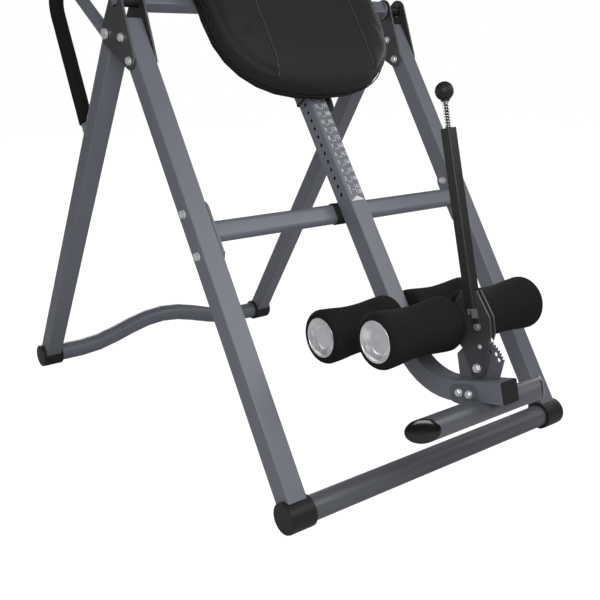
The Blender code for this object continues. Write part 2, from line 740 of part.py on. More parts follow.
# Bed sleeve, its plastic collar and the flat rails under the backrest
sleeve = square_tube(along_z(-SLEEVE_DROP, SLEEVE_RISE), SLEEVE, SLEEVE_WALL, SLEEVE_CORNER)
sleeve = piece("bed_sleeve", sleeve, FRAME_PAINT, bed)
collar_top = -SLEEVE_DROP - CLEAR
collar_wall = (COLLAR - TUBE) / 2 - CLEAR
collar = square_tube(along_z(collar_top - COLLAR_TALL, collar_top), COLLAR, collar_wall, SLEEVE_CORNER)
piece("sleeve_collar", collar, BLACK_PLASTIC, bed)
rail_y = -(SLEEVE / 2 + CLEAR + RAIL_DEPTH / 2)
for level, z in RAIL_LEVELS:
    rail = bar(along_x(-RAIL_HALF, RAIL_HALF), rounded_box(RAIL_DEPTH, RAIL_TALL, RAIL_CORNER))
    piece(f"bed_rail_{level}", rail, FRAME_PAINT, bed, (0, rail_y, z))

# Pivot arms: square tubes from the sleeve's sides to the hinge plates, each with a flanged pin
arm_end = PLATE_INNER - BUSH_FLANGE - 2 * CLEAR - ARM_FLANGE
for side, sign in SIDES:
    arm_frames = along_x(sign * (SLEEVE / 2 + CLEAR), sign * (arm_end + OVERLAP))
    arm = piece(f"pivot_arm_{side}", square_tube(arm_frames, ARM_SIDE, ARM_WALL, ARM_CORNER), FRAME_PAINT, bed)
    pin = [
        (arm_end, 0),
        (arm_end, ARM_FLANGE_RADIUS),
        (arm_end + ARM_FLANGE, ARM_FLANGE_RADIUS),
        (arm_end + ARM_FLANGE, PIVOT_PIN),
        (PLATE_OUTER + PIN_STANDOUT, PIVOT_PIN),
        (PLATE_OUTER + PIN_STANDOUT, 0),
    ]
    pin = turned([(sign * x, r) for x, r in pin], PIN_STEPS)
    weld(arm, piece(f"pivot_pin_{side}", pin, None, bed))


# Backrest


def backrest_outline(inset):
    """Rounded lower and upper ends joined by straight sides that taper towards the head."""
    power = 2 / END_POWER
    lower, upper = [], []
    for i in range(END_POINTS):
        angle = pi * i / (END_POINTS - 1)
        wide = copysign(abs(cos(angle)) ** power, cos(angle))
        tall = sin(angle) ** power
        lower.append(((SEAT_HALF - inset) * wide, SEAT_LEVEL - (SEAT_DEPTH - inset) * tall))
        upper.append((-(HEAD_HALF - inset) * wide, HEAD_LEVEL + (HEAD_DEPTH - inset) * tall))
    outline = []
    for end, following in ((lower, upper), (upper, lower)):
        first, last = Vector(end[-1]), Vector(following[0])
        outline += end
        outline += [tuple(first.lerp(last, i / SIDE_POINTS)) for i in range(1, SIDE_POINTS)]
    return outline


def cushion_mesh(back):
    """Crowned pad: widest just over the board, with a sewn channel that follows its edge."""
    edge_share = 0.985
    rings = [(1 - CUSHION_TUCK, 0.0), (1.0, CUSHION_EDGE * 0.3), (0.997, CUSHION_EDGE * 0.65)]
    channel = (CHANNEL_SHARE + CHANNEL_HALF, CHANNEL_SHARE, CHANNEL_SHARE - CHANNEL_HALF)
    for share in (edge_share, 0.94, 0.85, 0.74, *channel, 0.42, 0.20):
        height = CUSHION_EDGE + (CUSHION_CROWN - CUSHION_EDGE) * (1 - (share / edge_share) ** 2.4)
        rings.append((share, height - CHANNEL * (share == CHANNEL_SHARE)))
    bm = bmesh.new()
    loops = []
    for share, height in rings:
        loop = []
        for x, z in backrest_outline(0.0):
            spine = min(max(z, SEAT_LEVEL), HEAD_LEVEL)
            loop.append(bm.verts.new((x * share, back - height, spine + (z - spine) * share)))
        loops.append(loop)
    for low, high in zip(loops, loops[1:]):
        for i in range(len(low)):
            bm.faces.new((low[i - 1], low[i], high[i], high[i - 1]))
    bm.faces.new(loops[0])
    bm.faces.new(loops[-1])
    return bm


board_back = -(SLEEVE / 2 + RAIL_DEPTH + 2 * CLEAR)
board = plate(backrest_outline(BOARD_INSET), [], BOARD, flat="XZ")
piece("backrest_board", board, PLYWOOD, bed, (0, board_back - BOARD / 2, 0))
piece("backrest_cushion", cushion_mesh(board_back - BOARD - CLEAR), UPHOLSTERY, bed)


# Height selector on the sleeve's left side
sleeve_face = SLEEVE / 2 + CLEAR
selector_place = (0, 0, -PIN_DROP)
housing_end = sleeve_face + HOUSING_LONG
pin_bore = drilled(PIN_RADIUS, PIN_STEPS)
housing = [
    (sleeve_face, pin_bore),
    (sleeve_face, HOUSING_RADIUS),
    (housing_end, HOUSING_RADIUS),
    (housing_end, pin_bore),
]
housing = turned([(-x, r) for x, r in housing], PIN_STEPS, ring=True)
piece("selector_housing", housing, FRAME_PAINT, bed, selector_place)
pin_tip = TUBE / 2 - PIN_REACH
knob_base = housing_end + CLEAR
knob_top = knob_base + KNOB_LONG
selector = [
    (pin_tip, 0),
    (pin_tip, PIN_RADIUS - PIN_BEVEL),
    (pin_tip + PIN_BEVEL, PIN_RADIUS),
    (knob_base, PIN_RADIUS),
    (knob_base, KNOB_RADIUS - KNOB_ROUND),
    (knob_base + KNOB_ROUND, KNOB_RADIUS),
    (knob_top - KNOB_ROUND, KNOB_RADIUS),
    (knob_top, KNOB_RADIUS - KNOB_ROUND),
    (knob_top, 0),
]
selector = turned([(-x, r) for x, r in selector], PIN_STEPS)
piece("selector_pin", selector, BLACK_PLASTIC, bed, selector_place)

# Clamp lever on the right: its stud presses on the boom through a boss on the sleeve
boss_end = sleeve_face + STUD_BOSS_LONG
stud_bore = drilled(STUD_RADIUS, PIN_STEPS)
boss = [(sleeve_face, stud_bore), (sleeve_face, STUD_BOSS), (boss_end, STUD_BOSS), (boss_end, stud_bore)]
piece("clamp_boss", turned(boss, PIN_STEPS, ring=True), FRAME_PAINT, bed, selector_place)
hub = boss_end + CLEAR
handle_outline = hull_of_circles([(0, 0, CLAMP_HUB), (0, -CLAMP_LONG, CLAMP_TIP)], PIN_STEPS)
clamp_lever = plate(handle_outline, [], CLAMP_THICK)
clamp_place = (hub + CLAMP_THICK / 2, 0, -PIN_DROP)
clamp_lever = piece("clamp_lever", clamp_lever, BLACK_PLASTIC, bed, clamp_place)
stud_tip = TUBE / 2 + CLEAR
stud = turned([(stud_tip, 0), (stud_tip, STUD_RADIUS), (hub + OVERLAP, STUD_RADIUS), (hub + OVERLAP, 0)], PIN_STEPS)
weld(clamp_lever, piece("clamp_stud", stud, None, bed, selector_place))
hole_left = along_x(-SLEEVE, -SLEEVE / 2 + 2 * SLEEVE_WALL, z=-PIN_DROP)
hole_right = along_x(SLEEVE / 2 - 2 * SLEEVE_WALL, SLEEVE, z=-PIN_DROP)
sleeve_holes = bar(hole_left, circle(pin_bore, PIN_STEPS))
sleeve_holes = bar(hole_right, circle(stud_bore, PIN_STEPS), bm=sleeve_holes)
cut(sleeve, piece("sleeve_hole_cutter", sleeve_holes, None, bed))


# Boom: a square tube with its row of height holes, a J bend and an end plug
boom_moves = [
    (BOOM_RISE + BEND_DROP, 0, 1),
    (BEND_RADIUS * BEND, -BEND, BEND_STEPS),
    (FOOT_RUN - PLUG_FLANGE, 0, 1),
]
boom_frames = path_frames(bent_path((0.0, BOOM_RISE), -pi / 2, boom_moves))
boom_tube = piece("boom_tube", square_tube(boom_frames, TUBE, TUBE_WALL, TUBE_CORNER), FRAME_PAINT, boom)
axle_room = drilled(AXLE_RADIUS, PIN_STEPS)
boom_holes = bar(along_x(-TUBE, TUBE, z=-REAR_AXLE_DROP), circle(axle_room, PIN_STEPS))
for k in range(-HOLES_BELOW_PIN, HOLES_ABOVE_PIN + 1):
    hole = along_x(-TUBE, -TUBE / 2 + 2 * TUBE_WALL, z=k * HOLE_PITCH - PIN_DROP)
    boom_holes = bar(hole, circle(HOLE_RADIUS, HOLE_STEPS), bm=boom_holes)
cut(boom_tube, piece("boom_hole_cutter", boom_holes, None, boom))

insert = TUBE - 2 * TUBE_WALL - 2 * CLEAR
flange_section = rounded_box(TUBE, TUBE, TUBE_CORNER)
insert_section = rounded_box(insert, insert, TUBE_CORNER - TUBE_WALL)
plug_frames = along_y(0, PLUG_FLANGE - CLEAR, PLUG_FLANGE - CLEAR, PLUG_DEPTH)
plug = bar(plug_frames, flange_section, flange_section, insert_section, insert_section)
piece("boom_end_plug", plug, BLACK_PLASTIC, boom_foot)


# Foot rest: a tube under the boom with a bolted saddle, mitred so that a domed plug faces forward at each end


def mitred(bm):
    """Shear a piece of the foot rest, so that both of its ends lean out towards the rear."""
    slope = tan(FOOTREST_MITRE)
    for vert in bm.verts:
        vert.co.x += copysign(1, vert.co.x) * slope * vert.co.y
    return bm


footrest_place = (0, FOOTREST_BACK, -FOOTREST_DROP)
tube_end = FOOTREST_HALF - FOOTREST_RADIUS * tan(FOOTREST_MITRE)
tube_bore = FOOTREST_RADIUS - FOOTREST_WALL
footrest = tube(
    along_x(-tube_end, tube_end),
    circle(FOOTREST_RADIUS, ROUND_STEPS),
    circle(tube_bore, ROUND_STEPS),
)
footrest = piece("footrest_tube", mitred(footrest), FRAME_PAINT, boom_foot, footrest_place)
saddle_outline = rounded(
    [
        (-SADDLE_FRONT, SADDLE_FOOT, 0),
        (SADDLE_HEEL, SADDLE_FOOT, 0),
        (SADDLE_REAR, SADDLE_REAR_LOW, SADDLE_FOOT),
        (SADDLE_REAR, SADDLE_TOP, SADDLE_ROUND),
        (-SADDLE_FRONT, SADDLE_TOP, SADDLE_ROUND),
    ]
)
flange_low = tube_end + CLEAR / cos(FOOTREST_MITRE)
flange_high = flange_low + FOOT_PLUG_FLANGE
plug_low = tube_end - FOOT_PLUG_INSERT
plug_radius = tube_bore - CLEAR / cos(pi / ROUND_STEPS)
for side, sign in SIDES:
    saddle_place = (sign * (TUBE / 2 + CLEAR + SADDLE / 2), FOOTREST_BACK, -FOOTREST_DROP)
    weld(footrest, piece(f"footrest_saddle_{side}", plate(saddle_outline, [], SADDLE), None, boom_foot, saddle_place))
    end_plug = [(plug_low, 0), (plug_low, plug_radius), (flange_low, plug_radius), (flange_low, FOOTREST_RADIUS)]
    for i in range(DOME_STEPS):
        rise = pi / 2 * i / DOME_STEPS
        end_plug.append((flange_high + FOOT_PLUG_DOME * sin(rise), FOOTREST_RADIUS * cos(rise) ** 0.6))
    end_plug.append((flange_high + FOOT_PLUG_DOME, 0))
    end_plug = turned([(sign * x, r) for x, r in end_plug], ROUND_STEPS)
    piece(f"footrest_cap_{side}", mitred(end_plug), BLACK_RUBBER, boom_foot, footrest_place)
saddle_room = bar(along_y(-FOOTREST_BACK, TUBE + FOOTREST_BACK), rounded_box(TUBE + 2 * CLEAR, TUBE + 2 * CLEAR, CLEAR))
cut(footrest, piece("footrest_notch_cutter", saddle_room, None, boom_foot))


# Ratchet plate, welded on edge to the foot of the boom


def ratchet_outline():
    foot = -(ANKLE_RISE - TUBE / 2 - CLEAR)
    outline = [turned_by((RATCHET_REAR, foot), -ANKLE_TURN), RATCHET_SHOULDER]
    first_gap = PAWL_AT - GAPS_BEFORE * TOOTH_PITCH
    outline += arc((0, 0), TOOTH_TIP, RIM_START, first_gap - GAP_FLOOR - GAP_SLOPE - GAP_FLOOR, RIM_STEPS)
    for k in range(-GAPS_BEFORE, GAPS_AFTER + 1):
        middle = PAWL_AT + k * TOOTH_PITCH
        outline += [
            polar(TOOTH_TIP, middle - GAP_FLOOR - GAP_SLOPE),
            polar(TOOTH_ROOT, middle - GAP_FLOOR),
            polar(TOOTH_ROOT, middle + GAP_FLOOR),
            polar(TOOTH_TIP, middle + GAP_FLOOR + GAP_STEEP),
        ]
    return [*outline, RATCHET_NOSE, turned_by((-RATCHET_FRONT, foot), -ANKLE_TURN)]


def stop_slot():
    """Arc slot that lets the stop pin travel from the closed end to the open end of the clamp's swing."""
    radius = hypot(*STOP_AT)
    rest = atan2(STOP_AT[1], STOP_AT[0])
    half = drilled(STOP_PIN, PIN_STEPS)
    low, high = rest - STOP_BACK, rest + STOP_FORWARD
    slot = arc((0, 0), radius + half, low, high, SLOT_STEPS)
    slot += arc(polar(radius, high), half, high, high + pi, SLOT_STEPS)[1:-1]
    slot += arc((0, 0), radius - half, high, low, SLOT_STEPS)
    slot += arc(polar(radius, low), half, low + pi, low + 2 * pi, SLOT_STEPS)[1:-1]
    return slot


ratchet_holes = [circle(drilled(ANKLE_BOLT, PIN_STEPS), PIN_STEPS), stop_slot()]
ratchet_holes += [circle(RATCHET_HOLE, HOLE_STEPS, polar(*place)) for place in RATCHET_HOLE_AT]
ratchet = plate(ratchet_outline(), ratchet_holes, RATCHET)
ratchet_place = (0, ANKLE_BACK, ANKLE_RISE)
piece("ratchet_plate", ratchet, BRACKET_PAINT, boom_foot, ratchet_place, ANKLE_TURN)


def shouldered_bolt(name, reach, shank, head, head_tall, parent, place):
    """Bolt across the arm plates with a head at each end."""
    half = [(reach, shank), (reach, head), (reach + head_tall, head), (reach + head_tall, 0)]
    profile = [(-x, r) for x, r in reversed(half)] + half
    piece(name, turned(profile, PIN_STEPS), ZINC, parent, (0, *place))


shouldered_bolt("ankle_pivot_bolt", ARM_OUT + CLEAR, ANKLE_BOLT, ANKLE_HEAD, ANKLE_HEAD_TALL, ankle, (0, 0))
shouldered_bolt("pawl_bolt", ARM_OUT + CLEAR, PAWL_BOLT, PAWL_HEAD, PAWL_HEAD_TALL, ankle, PAWL_BOLT_AT)


# Clamp arm: two plates welded on the front axle, with the stop pin between them
arm_outline = rounded(
    [
        (*ARM_TOP, 0),
        *ARM_FRONT,
        *[(y, z, 0) for y, z in arc((0, 0), ARM_FOOT, radians(190), radians(335), 6)],
        ARM_WAIST,
        *[(y, z, 0) for y, z in arc(FRONT_AXLE, ARM_LOBE, radians(-55), radians(80), 6)],
        (*ARM_TOP_REAR, 0),
    ]
)
arm_holes = [
    circle(drilled(ANKLE_BOLT, PIN_STEPS), PIN_STEPS),
    circle(drilled(PAWL_BOLT, PIN_STEPS), PIN_STEPS, PAWL_BOLT_AT),
]
front_axle_half = FRONT_ROLLER_X + ROLLER_LONG - ROLLER_CAP_SEAT
arm = bar(along_x(-front_axle_half, front_axle_half), circle(AXLE_RADIUS, PIN_STEPS))
arm = piece("clamp_arm", arm, BRACKET_PAINT, ankle, (0, *FRONT_AXLE))
for side, sign in SIDES:
    arm_place = (sign * (ARM_GAP + ARM_PLATE) / 2, 0, 0)
    weld(arm, piece(f"arm_plate_{side}", plate(arm_outline, arm_holes, ARM_PLATE), None, ankle, arm_place))
stop_half = ARM_OUT + OVERLAP
stop = bar(along_x(-stop_half, stop_half), circle(STOP_PIN, PIN_STEPS))
weld(arm, piece("stop_pin", stop, None, ankle, (0, *STOP_AT)))


# Pawl: its nose sits in a gap of the ratchet, and the release rod pushes down on its tail


def pawl_outline():
    """Outline from the pawl bolt; the nose keeps inside both flanks of its gap."""
    low = TOOTH_ROOT + PAWL_GAP
    high = low + NOSE_TALL
    depth = TOOTH_TIP - TOOTH_ROOT
    steep = NOSE_HALF + GAP_STEEP * NOSE_TALL / depth
    slope = NOSE_HALF + GAP_SLOPE * NOSE_TALL / depth
    nose = [polar(low, PAWL_AT + NOSE_HALF), polar(low, PAWL_AT - NOSE_HALF), polar(high, PAWL_AT - slope)]
    shoulder = polar(high, PAWL_AT + steep)
    back = (-PAWL_BOLT_AT[0], -PAWL_BOLT_AT[1])
    nose = [shifted(point, back) for point in nose]
    shoulder = shifted(shoulder, back)
    tail = shifted(LEVER_FOOT, back)
    towards_tail = atan2(tail[1], tail[0])
    towards_nose = atan2(nose[0][1], nose[0][0])
    right = arc((0, 0), PAWL_BOSS, towards_nose + pi / 2, towards_tail - pi / 2, 3)
    tip = arc(tail, PAWL_TAIL, towards_tail - pi / 2, towards_tail + pi / 2, 6)
    left = arc((0, 0), PAWL_BOSS, towards_tail + pi / 2, towards_nose + 3 * pi / 2, 2)
    return [*nose, *right, *tip, *left, shoulder]


pawl_bore = circle(drilled(PAWL_BOLT, PIN_STEPS), PIN_STEPS)
piece("pawl", plate(pawl_outline(), [pawl_bore], PAWL), ZINC, pawl_pivot)


# Lever: a square tube forked over the arm plates, with a bush at its top for the release rod
lever_tube = square_tube(along_z(0, LEVER_LONG), LEVER_SIDE, LEVER_WALL, LEVER_CORNER)
lever_tube = piece("lever_tube", lever_tube, LEVER_BLACK, lever)
fork_room = LEVER_SIDE - 2 * LEVER_WALL
fork_cutter = bar(along_z(-FORK, FORK), rounded_box(fork_room, 2 * LEVER_SIDE, CLEAR))
cut(lever_tube, piece("lever_fork_cutter", fork_cutter, None, lever))
bush_side = fork_room - 2 * CLEAR
bush_section = rounded_box(bush_side, bush_side, LEVER_WALL / 3)
rod_bore = circle(drilled(ROD_RADIUS, PIN_STEPS), PIN_STEPS)
rod_bush = tube(along_z(LEVER_LONG - LEVER_BUSH, LEVER_LONG), bush_section, rod_bore)
piece("lever_bush", rod_bush, BLACK_PLASTIC, lever)


# Release spring between the lever's top and the knob


def spring_frames(low, high):
    count = SPRING_TURNS * SPRING_POINTS
    frames, points = [], []
    for i in range(count + 1):
        angle = 2 * pi * i / SPRING_POINTS
        out = Vector((cos(angle), sin(angle), 0))
        centre = out * SPRING_RADIUS + Vector((0, 0, low + (high - low) * i / count))
        climb = (high - low) / (2 * pi * SPRING_TURNS)
        along = Vector((-sin(angle) * SPRING_RADIUS, cos(angle) * SPRING_RADIUS, climb))
        frames.append(frame_at(centre, out, along))
        points.append(centre)
    return frames, points


def least_gap(points, wire, apart):
    """Least gap between stretches of a coil that lie at least half a turn apart along it."""
    gaps = [
        (points[i] - points[j]).length - 2 * wire
        for i in range(len(points))
        for j in range(i + apart, len(points))
    ]
    return min(gaps)


spring_low = LEVER_LONG + CLEAR + 2 * SPRING_WIRE
spring_high = LEVER_LONG + SPRING_LONG - CLEAR - 2 * SPRING_WIRE
coil_frames, coil_points = spring_frames(spring_low, spring_high)
piece("lever_spring", bar(coil_frames, circle(SPRING_WIRE, SPRING_SIDES)), CHROME, lever)
print(f"least gap in the spring: {1000 * least_gap(coil_points, SPRING_WIRE, SPRING_POINTS // 2):.2f} mm")

# Release knob: a ball on a neck, with the rod that reaches down through the spring and the lever
neck_low = LEVER_LONG + SPRING_LONG
ball_centre = neck_low + BALL_NECK_TALL + BALL_RADIUS * cos(asin(BALL_NECK / BALL_RADIUS))
neck_angle = asin(BALL_NECK / BALL_RADIUS)
ball = [
    (ball_centre - BALL_RADIUS * cos(a), BALL_RADIUS * sin(a))
    for a in (neck_angle + (pi - neck_angle) * i / BALL_STEPS for i in range(BALL_STEPS))
]
knob = [(ROD_END, 0), (ROD_END, ROD_RADIUS), (neck_low, ROD_RADIUS), (neck_low, BALL_NECK), *ball]
knob = turned([*knob, (ball_centre + BALL_RADIUS, 0)], PIN_STEPS)
bmesh.ops.rotate(knob, verts=knob.verts, matrix=Matrix.Rotation(-pi / 2, 3, "Y"))
piece("release_knob", knob, BLACK_PLASTIC, lever)


# Foam rollers with dished end caps


def roller_profile(inner, outer):
    """Half section of a roller from its inner to its outer end: rounded edges, full near them, slim between."""
    long = outer - inner
    wave_low, wave_high = inner + ROLLER_EDGE, outer - ROLLER_EDGE

    def radius(x):
        share = (x - inner) / long
        return ROLLER_RADIUS - ROLLER_WAIST * (1 - cos(2 * pi * share)) / 2

    profile = []
    for end, sign in ((wave_low, -1), (wave_high, 1)):
        edge = []
        for i in range(ROLLER_EDGE_STEPS + 1):
            angle = pi / 2 * i / ROLLER_EDGE_STEPS
            edge.append((end + sign * ROLLER_EDGE * sin(angle), radius(end) - ROLLER_EDGE * (1 - cos(angle))))
        profile.append(edge)
    steps = ROLLER_WAVE_STEPS
    wave = [wave_low + (wave_high - wave_low) * i / steps for i in range(1, steps)]
    return [*reversed(profile[0]), *[(x, radius(x)) for x in wave], *profile[1]]


def roller_pair(label, parent, place, inner):
    outer = inner + ROLLER_LONG
    seat = outer - ROLLER_CAP_SEAT
    bore = drilled(AXLE_RADIUS, ROLLER_STEPS)
    rim = drilled(ROLLER_CAP_RADIUS, ROLLER_STEPS)
    skin_profile = [(x, max(r, rim) if x > seat else r) for x, r in roller_profile(inner, outer)]
    foam = [(inner, bore), *skin_profile, (outer, rim), (seat, rim), (seat, bore)]
    dish = [
        (seat + CLEAR, 0),
        (seat + CLEAR, ROLLER_CAP_RADIUS),
        (outer, ROLLER_CAP_RADIUS),
        (outer + CLEAR, ROLLER_CAP_RADIUS * 0.95),
        (outer - CLEAR, ROLLER_CAP_RADIUS * 0.86),
        (outer - ROLLER_CAP_DISH, ROLLER_CAP_RADIUS * 0.62),
        (outer - ROLLER_CAP_DISH, 0),
    ]
    for side, sign in SIDES:
        roller = turned([(sign * x, r) for x, r in foam], ROLLER_STEPS, ring=True)
        piece(f"{label}_roller_{side}", roller, FOAM, parent, place)
        cap = turned([(sign * x, r) for x, r in dish], ROLLER_STEPS)
        piece(f"{label}_roller_cap_{side}", cap, CAP_SILVER, parent, place)


rear_axle_half = REAR_ROLLER_X + ROLLER_LONG - ROLLER_CAP_SEAT
rear_axle = bar(along_x(-rear_axle_half, rear_axle_half), circle(AXLE_RADIUS, PIN_STEPS))
rear_axle_place = (0, 0, -REAR_AXLE_DROP)
piece("rear_axle", rear_axle, ZINC, boom, rear_axle_place)
roller_pair("rear", boom, rear_axle_place, REAR_ROLLER_X)
roller_pair("front", ankle, (0, *FRONT_AXLE), FRONT_ROLLER_X)
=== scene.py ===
"""Looks of the inversion table: paint, foam, upholstery, fasteners and the boom's scale."""

from math import asin, atan2, copysign, cos, exp, hypot, pi, radians, sin

import bmesh
import bpy
from mathutils import Matrix, Vector, noise
from mathutils.bvhtree import BVHTree


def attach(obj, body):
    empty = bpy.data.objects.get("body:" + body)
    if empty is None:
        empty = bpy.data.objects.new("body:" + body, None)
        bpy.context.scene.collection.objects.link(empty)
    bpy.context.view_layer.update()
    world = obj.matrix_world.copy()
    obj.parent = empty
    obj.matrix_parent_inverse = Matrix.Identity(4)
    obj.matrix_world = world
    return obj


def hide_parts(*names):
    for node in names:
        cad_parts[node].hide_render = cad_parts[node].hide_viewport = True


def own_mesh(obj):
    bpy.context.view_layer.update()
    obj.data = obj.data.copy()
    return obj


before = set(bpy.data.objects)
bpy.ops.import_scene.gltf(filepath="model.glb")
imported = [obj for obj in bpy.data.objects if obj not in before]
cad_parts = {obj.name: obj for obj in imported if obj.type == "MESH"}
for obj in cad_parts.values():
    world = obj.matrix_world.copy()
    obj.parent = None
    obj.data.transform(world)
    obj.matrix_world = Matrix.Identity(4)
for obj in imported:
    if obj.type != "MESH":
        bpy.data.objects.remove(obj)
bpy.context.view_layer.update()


# Joint frames of the table, each with Z along its own tube
def stand(y, z, lean):
    """Frame in the middle plane, leaning about X."""
    return Matrix.Translation((0, y, z)) @ Matrix.Rotation(lean, 4, "X")


FRONT_LEGS = stand(-0.467561, 0.0277, -0.548906)
FRONT_BASE = stand(-0.467561, 0.0277, 0.0)
REAR_FRAME = stand(0.075226, 0.819247, 0.594634)
REAR_BASE = stand(0.610539, 0.0277, 0.0)
BED = stand(0.02741, 0.87591, -0.578703)
BOOM_FOOT = stand(-0.634385, 0.212696, -0.234873)
ANKLE = stand(-0.565681, 0.237693, 0.000746)
LEVER = stand(-0.537858, 0.340214, -0.201712)

SIDES = (("left", -1), ("right", 1))

# Sizes shared with the solids, in metres
TUBE = 0.040
TUBE_CORNER = 0.003
LEG_X = 0.3365
LEG_OUTER = LEG_X + TUBE / 2
BASE_RADIUS = 0.0225
PLATE_OUTER = 0.3608
PLATE_INNER = 0.3122
PLATE_FOOT = 0.8712
FRONT_LEG_TOP = 0.94622
REAR_LEG_TOP = 0.020
CROSSBAR_UP = 0.515
CROSSBAR_FACE = 0.3117
GRIP_RADIUS = 0.0155
PIN_DROP = 0.1989
ROLLER_LONG = 0.172
ROLLER_RADIUS = 0.050
ROLLER_WAIST = 0.0055
ROLLER_EDGE = 0.011
AXLE_RADIUS = 0.0105
ROLLER_CAP_RADIUS = 0.037
ROLLER_CAP_SEAT = 0.010
ROLLER_CAP_DISH = 0.0090
FRONT_AXLE = (0.0620, 0.0723)
REAR_AXLE_DROP = 0.709
ROLLER_X = 0.0225
ARM_FACE = 0.0070
PAWL_BOLT_AT = (0.0028, 0.0754)
STOP_AT = (-0.0035, 0.0406)
FOOTREST = (0.0622, -0.0327)
FOOTREST_RADIUS = 0.0212
FOOTREST_HALF = 0.176
LEVER_LONG = 0.313
SPRING_LONG = 0.0455
BALL_RADIUS = 0.0162
BALL_NECK = 0.008
SEAT_HALF, SEAT_LEVEL, SEAT_DEPTH = 0.219, -0.065, 0.1805
HEAD_HALF, HEAD_LEVEL, HEAD_DEPTH = 0.195, 0.455, 0.150
CUSHION_BACK = -0.0394
CUSHION_CROWN = 0.050


# Shader groups


def shader_group(name, inputs, outputs):
    tree = bpy.data.node_groups.new(name, "ShaderNodeTree")
    for label, value in inputs.items():
        tree.interface.new_socket(label, in_out="INPUT", socket_type="NodeSocketFloat").default_value = value
    for label in outputs:
        tree.interface.new_socket(label, in_out="OUTPUT", socket_type="NodeSocketFloat")
    return tree, tree.nodes.new("NodeGroupInput").outputs, tree.nodes.new("NodeGroupOutput").inputs


def add(tree, kind, links=None, **settings):
    """New node; links maps its input names or numbers to a socket or to a constant."""
    made = tree.nodes.new(kind)
    for key, value in settings.items():
        setattr(made, key, value)
    for key, value in (links or {}).items():
        if isinstance(value, bpy.types.NodeSocket):
            tree.links.new(value, made.inputs[key])
        else:
            made.inputs[key].default_value = value
    return made


def maths(tree, operation, *values, clamp=False):
    made = add(tree, "ShaderNodeMath", dict(enumerate(values)), operation=operation, use_clamp=clamp)
    return made.outputs[0]


def grain_group():
    """Fine surface grain and broad patches of tone."""
    scales = {"Grain Scale": 800, "Patch Scale": 9}
    tree, given, out = shader_group("fine_grain", scales, ("Height", "Patches"))
    place = add(tree, "ShaderNodeTexCoord").outputs["Object"]
    fine = add(tree, "ShaderNodeTexNoise", {"Vector": place, "Scale": given["Grain Scale"], "Detail": 3.0})
    broad = add(tree, "ShaderNodeTexNoise", {"Vector": place, "Scale": given["Patch Scale"], "Detail": 5.0})
    tree.links.new(fine.outputs[0], out["Height"])
    tree.links.new(broad.outputs[0], out["Patches"])
    return tree


def cell_group():
    """Open pores of cut foam, or the speckle of a cast metal finish."""
    scales = {"Cell Scale": 1100, "Patch Scale": 14}
    tree, given, out = shader_group("fine_cells", scales, ("Height", "Patches"))
    place = add(tree, "ShaderNodeTexCoord").outputs["Object"]
    cells = add(tree, "ShaderNodeTexVoronoi", {"Vector": place, "Scale": given["Cell Scale"]})
    rough = add(tree, "ShaderNodeTexNoise", {"Vector": place, "Scale": given["Cell Scale"], "Detail": 2.0})
    broad = add(tree, "ShaderNodeTexNoise", {"Vector": place, "Scale": given["Patch Scale"], "Detail": 4.0})
    height = maths(tree, "MULTIPLY", cells.outputs["Distance"], rough.outputs[0])
    tree.links.new(height, out["Height"])
    tree.links.new(broad.outputs[0], out["Patches"])
    return tree


def weave_group():
    """Plain weave that lies in the plane of the backrest."""
    tree, given, out = shader_group("plain_weave", {"Thread Pitch": 0.0012}, ("Height", "Threads"))
    place = add(tree, "ShaderNodeTexCoord").outputs["Object"]
    turned_back = add(
        tree, "ShaderNodeMapping", {"Vector": place, "Rotation": (0.578703, 0.0, 0.0)}, vector_type="POINT"
    )
    axes = add(tree, "ShaderNodeSeparateXYZ", {0: turned_back.outputs[0]}).outputs
    turns = maths(tree, "DIVIDE", 2 * pi, given["Thread Pitch"])
    drift = add(tree, "ShaderNodeTexNoise", {"Vector": place, "Scale": 60.0, "Detail": 2.0}).outputs[0]
    waves = []
    for axis in (axes["X"], axes["Z"]):
        angle = maths(tree, "MULTIPLY_ADD", axis, turns, maths(tree, "MULTIPLY", drift, 2.0))
        waves.append(maths(tree, "SINE", angle))
    crossed = maths(tree, "MULTIPLY", *waves)
    tree.links.new(maths(tree, "MULTIPLY_ADD", crossed, 0.5, 0.5), out["Height"])
    tree.links.new(maths(tree, "MULTIPLY_ADD", waves[0], 0.5, 0.5), out["Threads"])
    return tree


def edge_wear_and_highlight_group():
    """Rubbed wear and painted highlight on edges: where a rounded normal turns away from the face's own."""
    tree, given, out = shader_group("rubbed_and_highlit_edges", {"Reach": 0.0012, "Amount": 0.5}, ("Mask",))
    soft = add(tree, "ShaderNodeBevel", {"Radius": given["Reach"]}, samples=4).outputs[0]
    face = add(tree, "ShaderNodeNewGeometry").outputs["True Normal"]
    facing = add(tree, "ShaderNodeVectorMath", {0: soft, 1: face}, operation="DOT_PRODUCT").outputs["Value"]
    turned_away = maths(tree, "MULTIPLY", maths(tree, "SUBTRACT", 1.0, facing), 5.0, clamp=True)
    place = add(tree, "ShaderNodeTexCoord").outputs["Object"]
    broken = add(tree, "ShaderNodeTexNoise", {"Vector": place, "Scale": 70.0, "Detail": 5.0}).outputs[0]
    amount = maths(tree, "MULTIPLY", broken, given["Amount"])
    patchy = maths(tree, "MULTIPLY", turned_away, amount, clamp=True)
    tree.links.new(patchy, out["Mask"])
    return tree


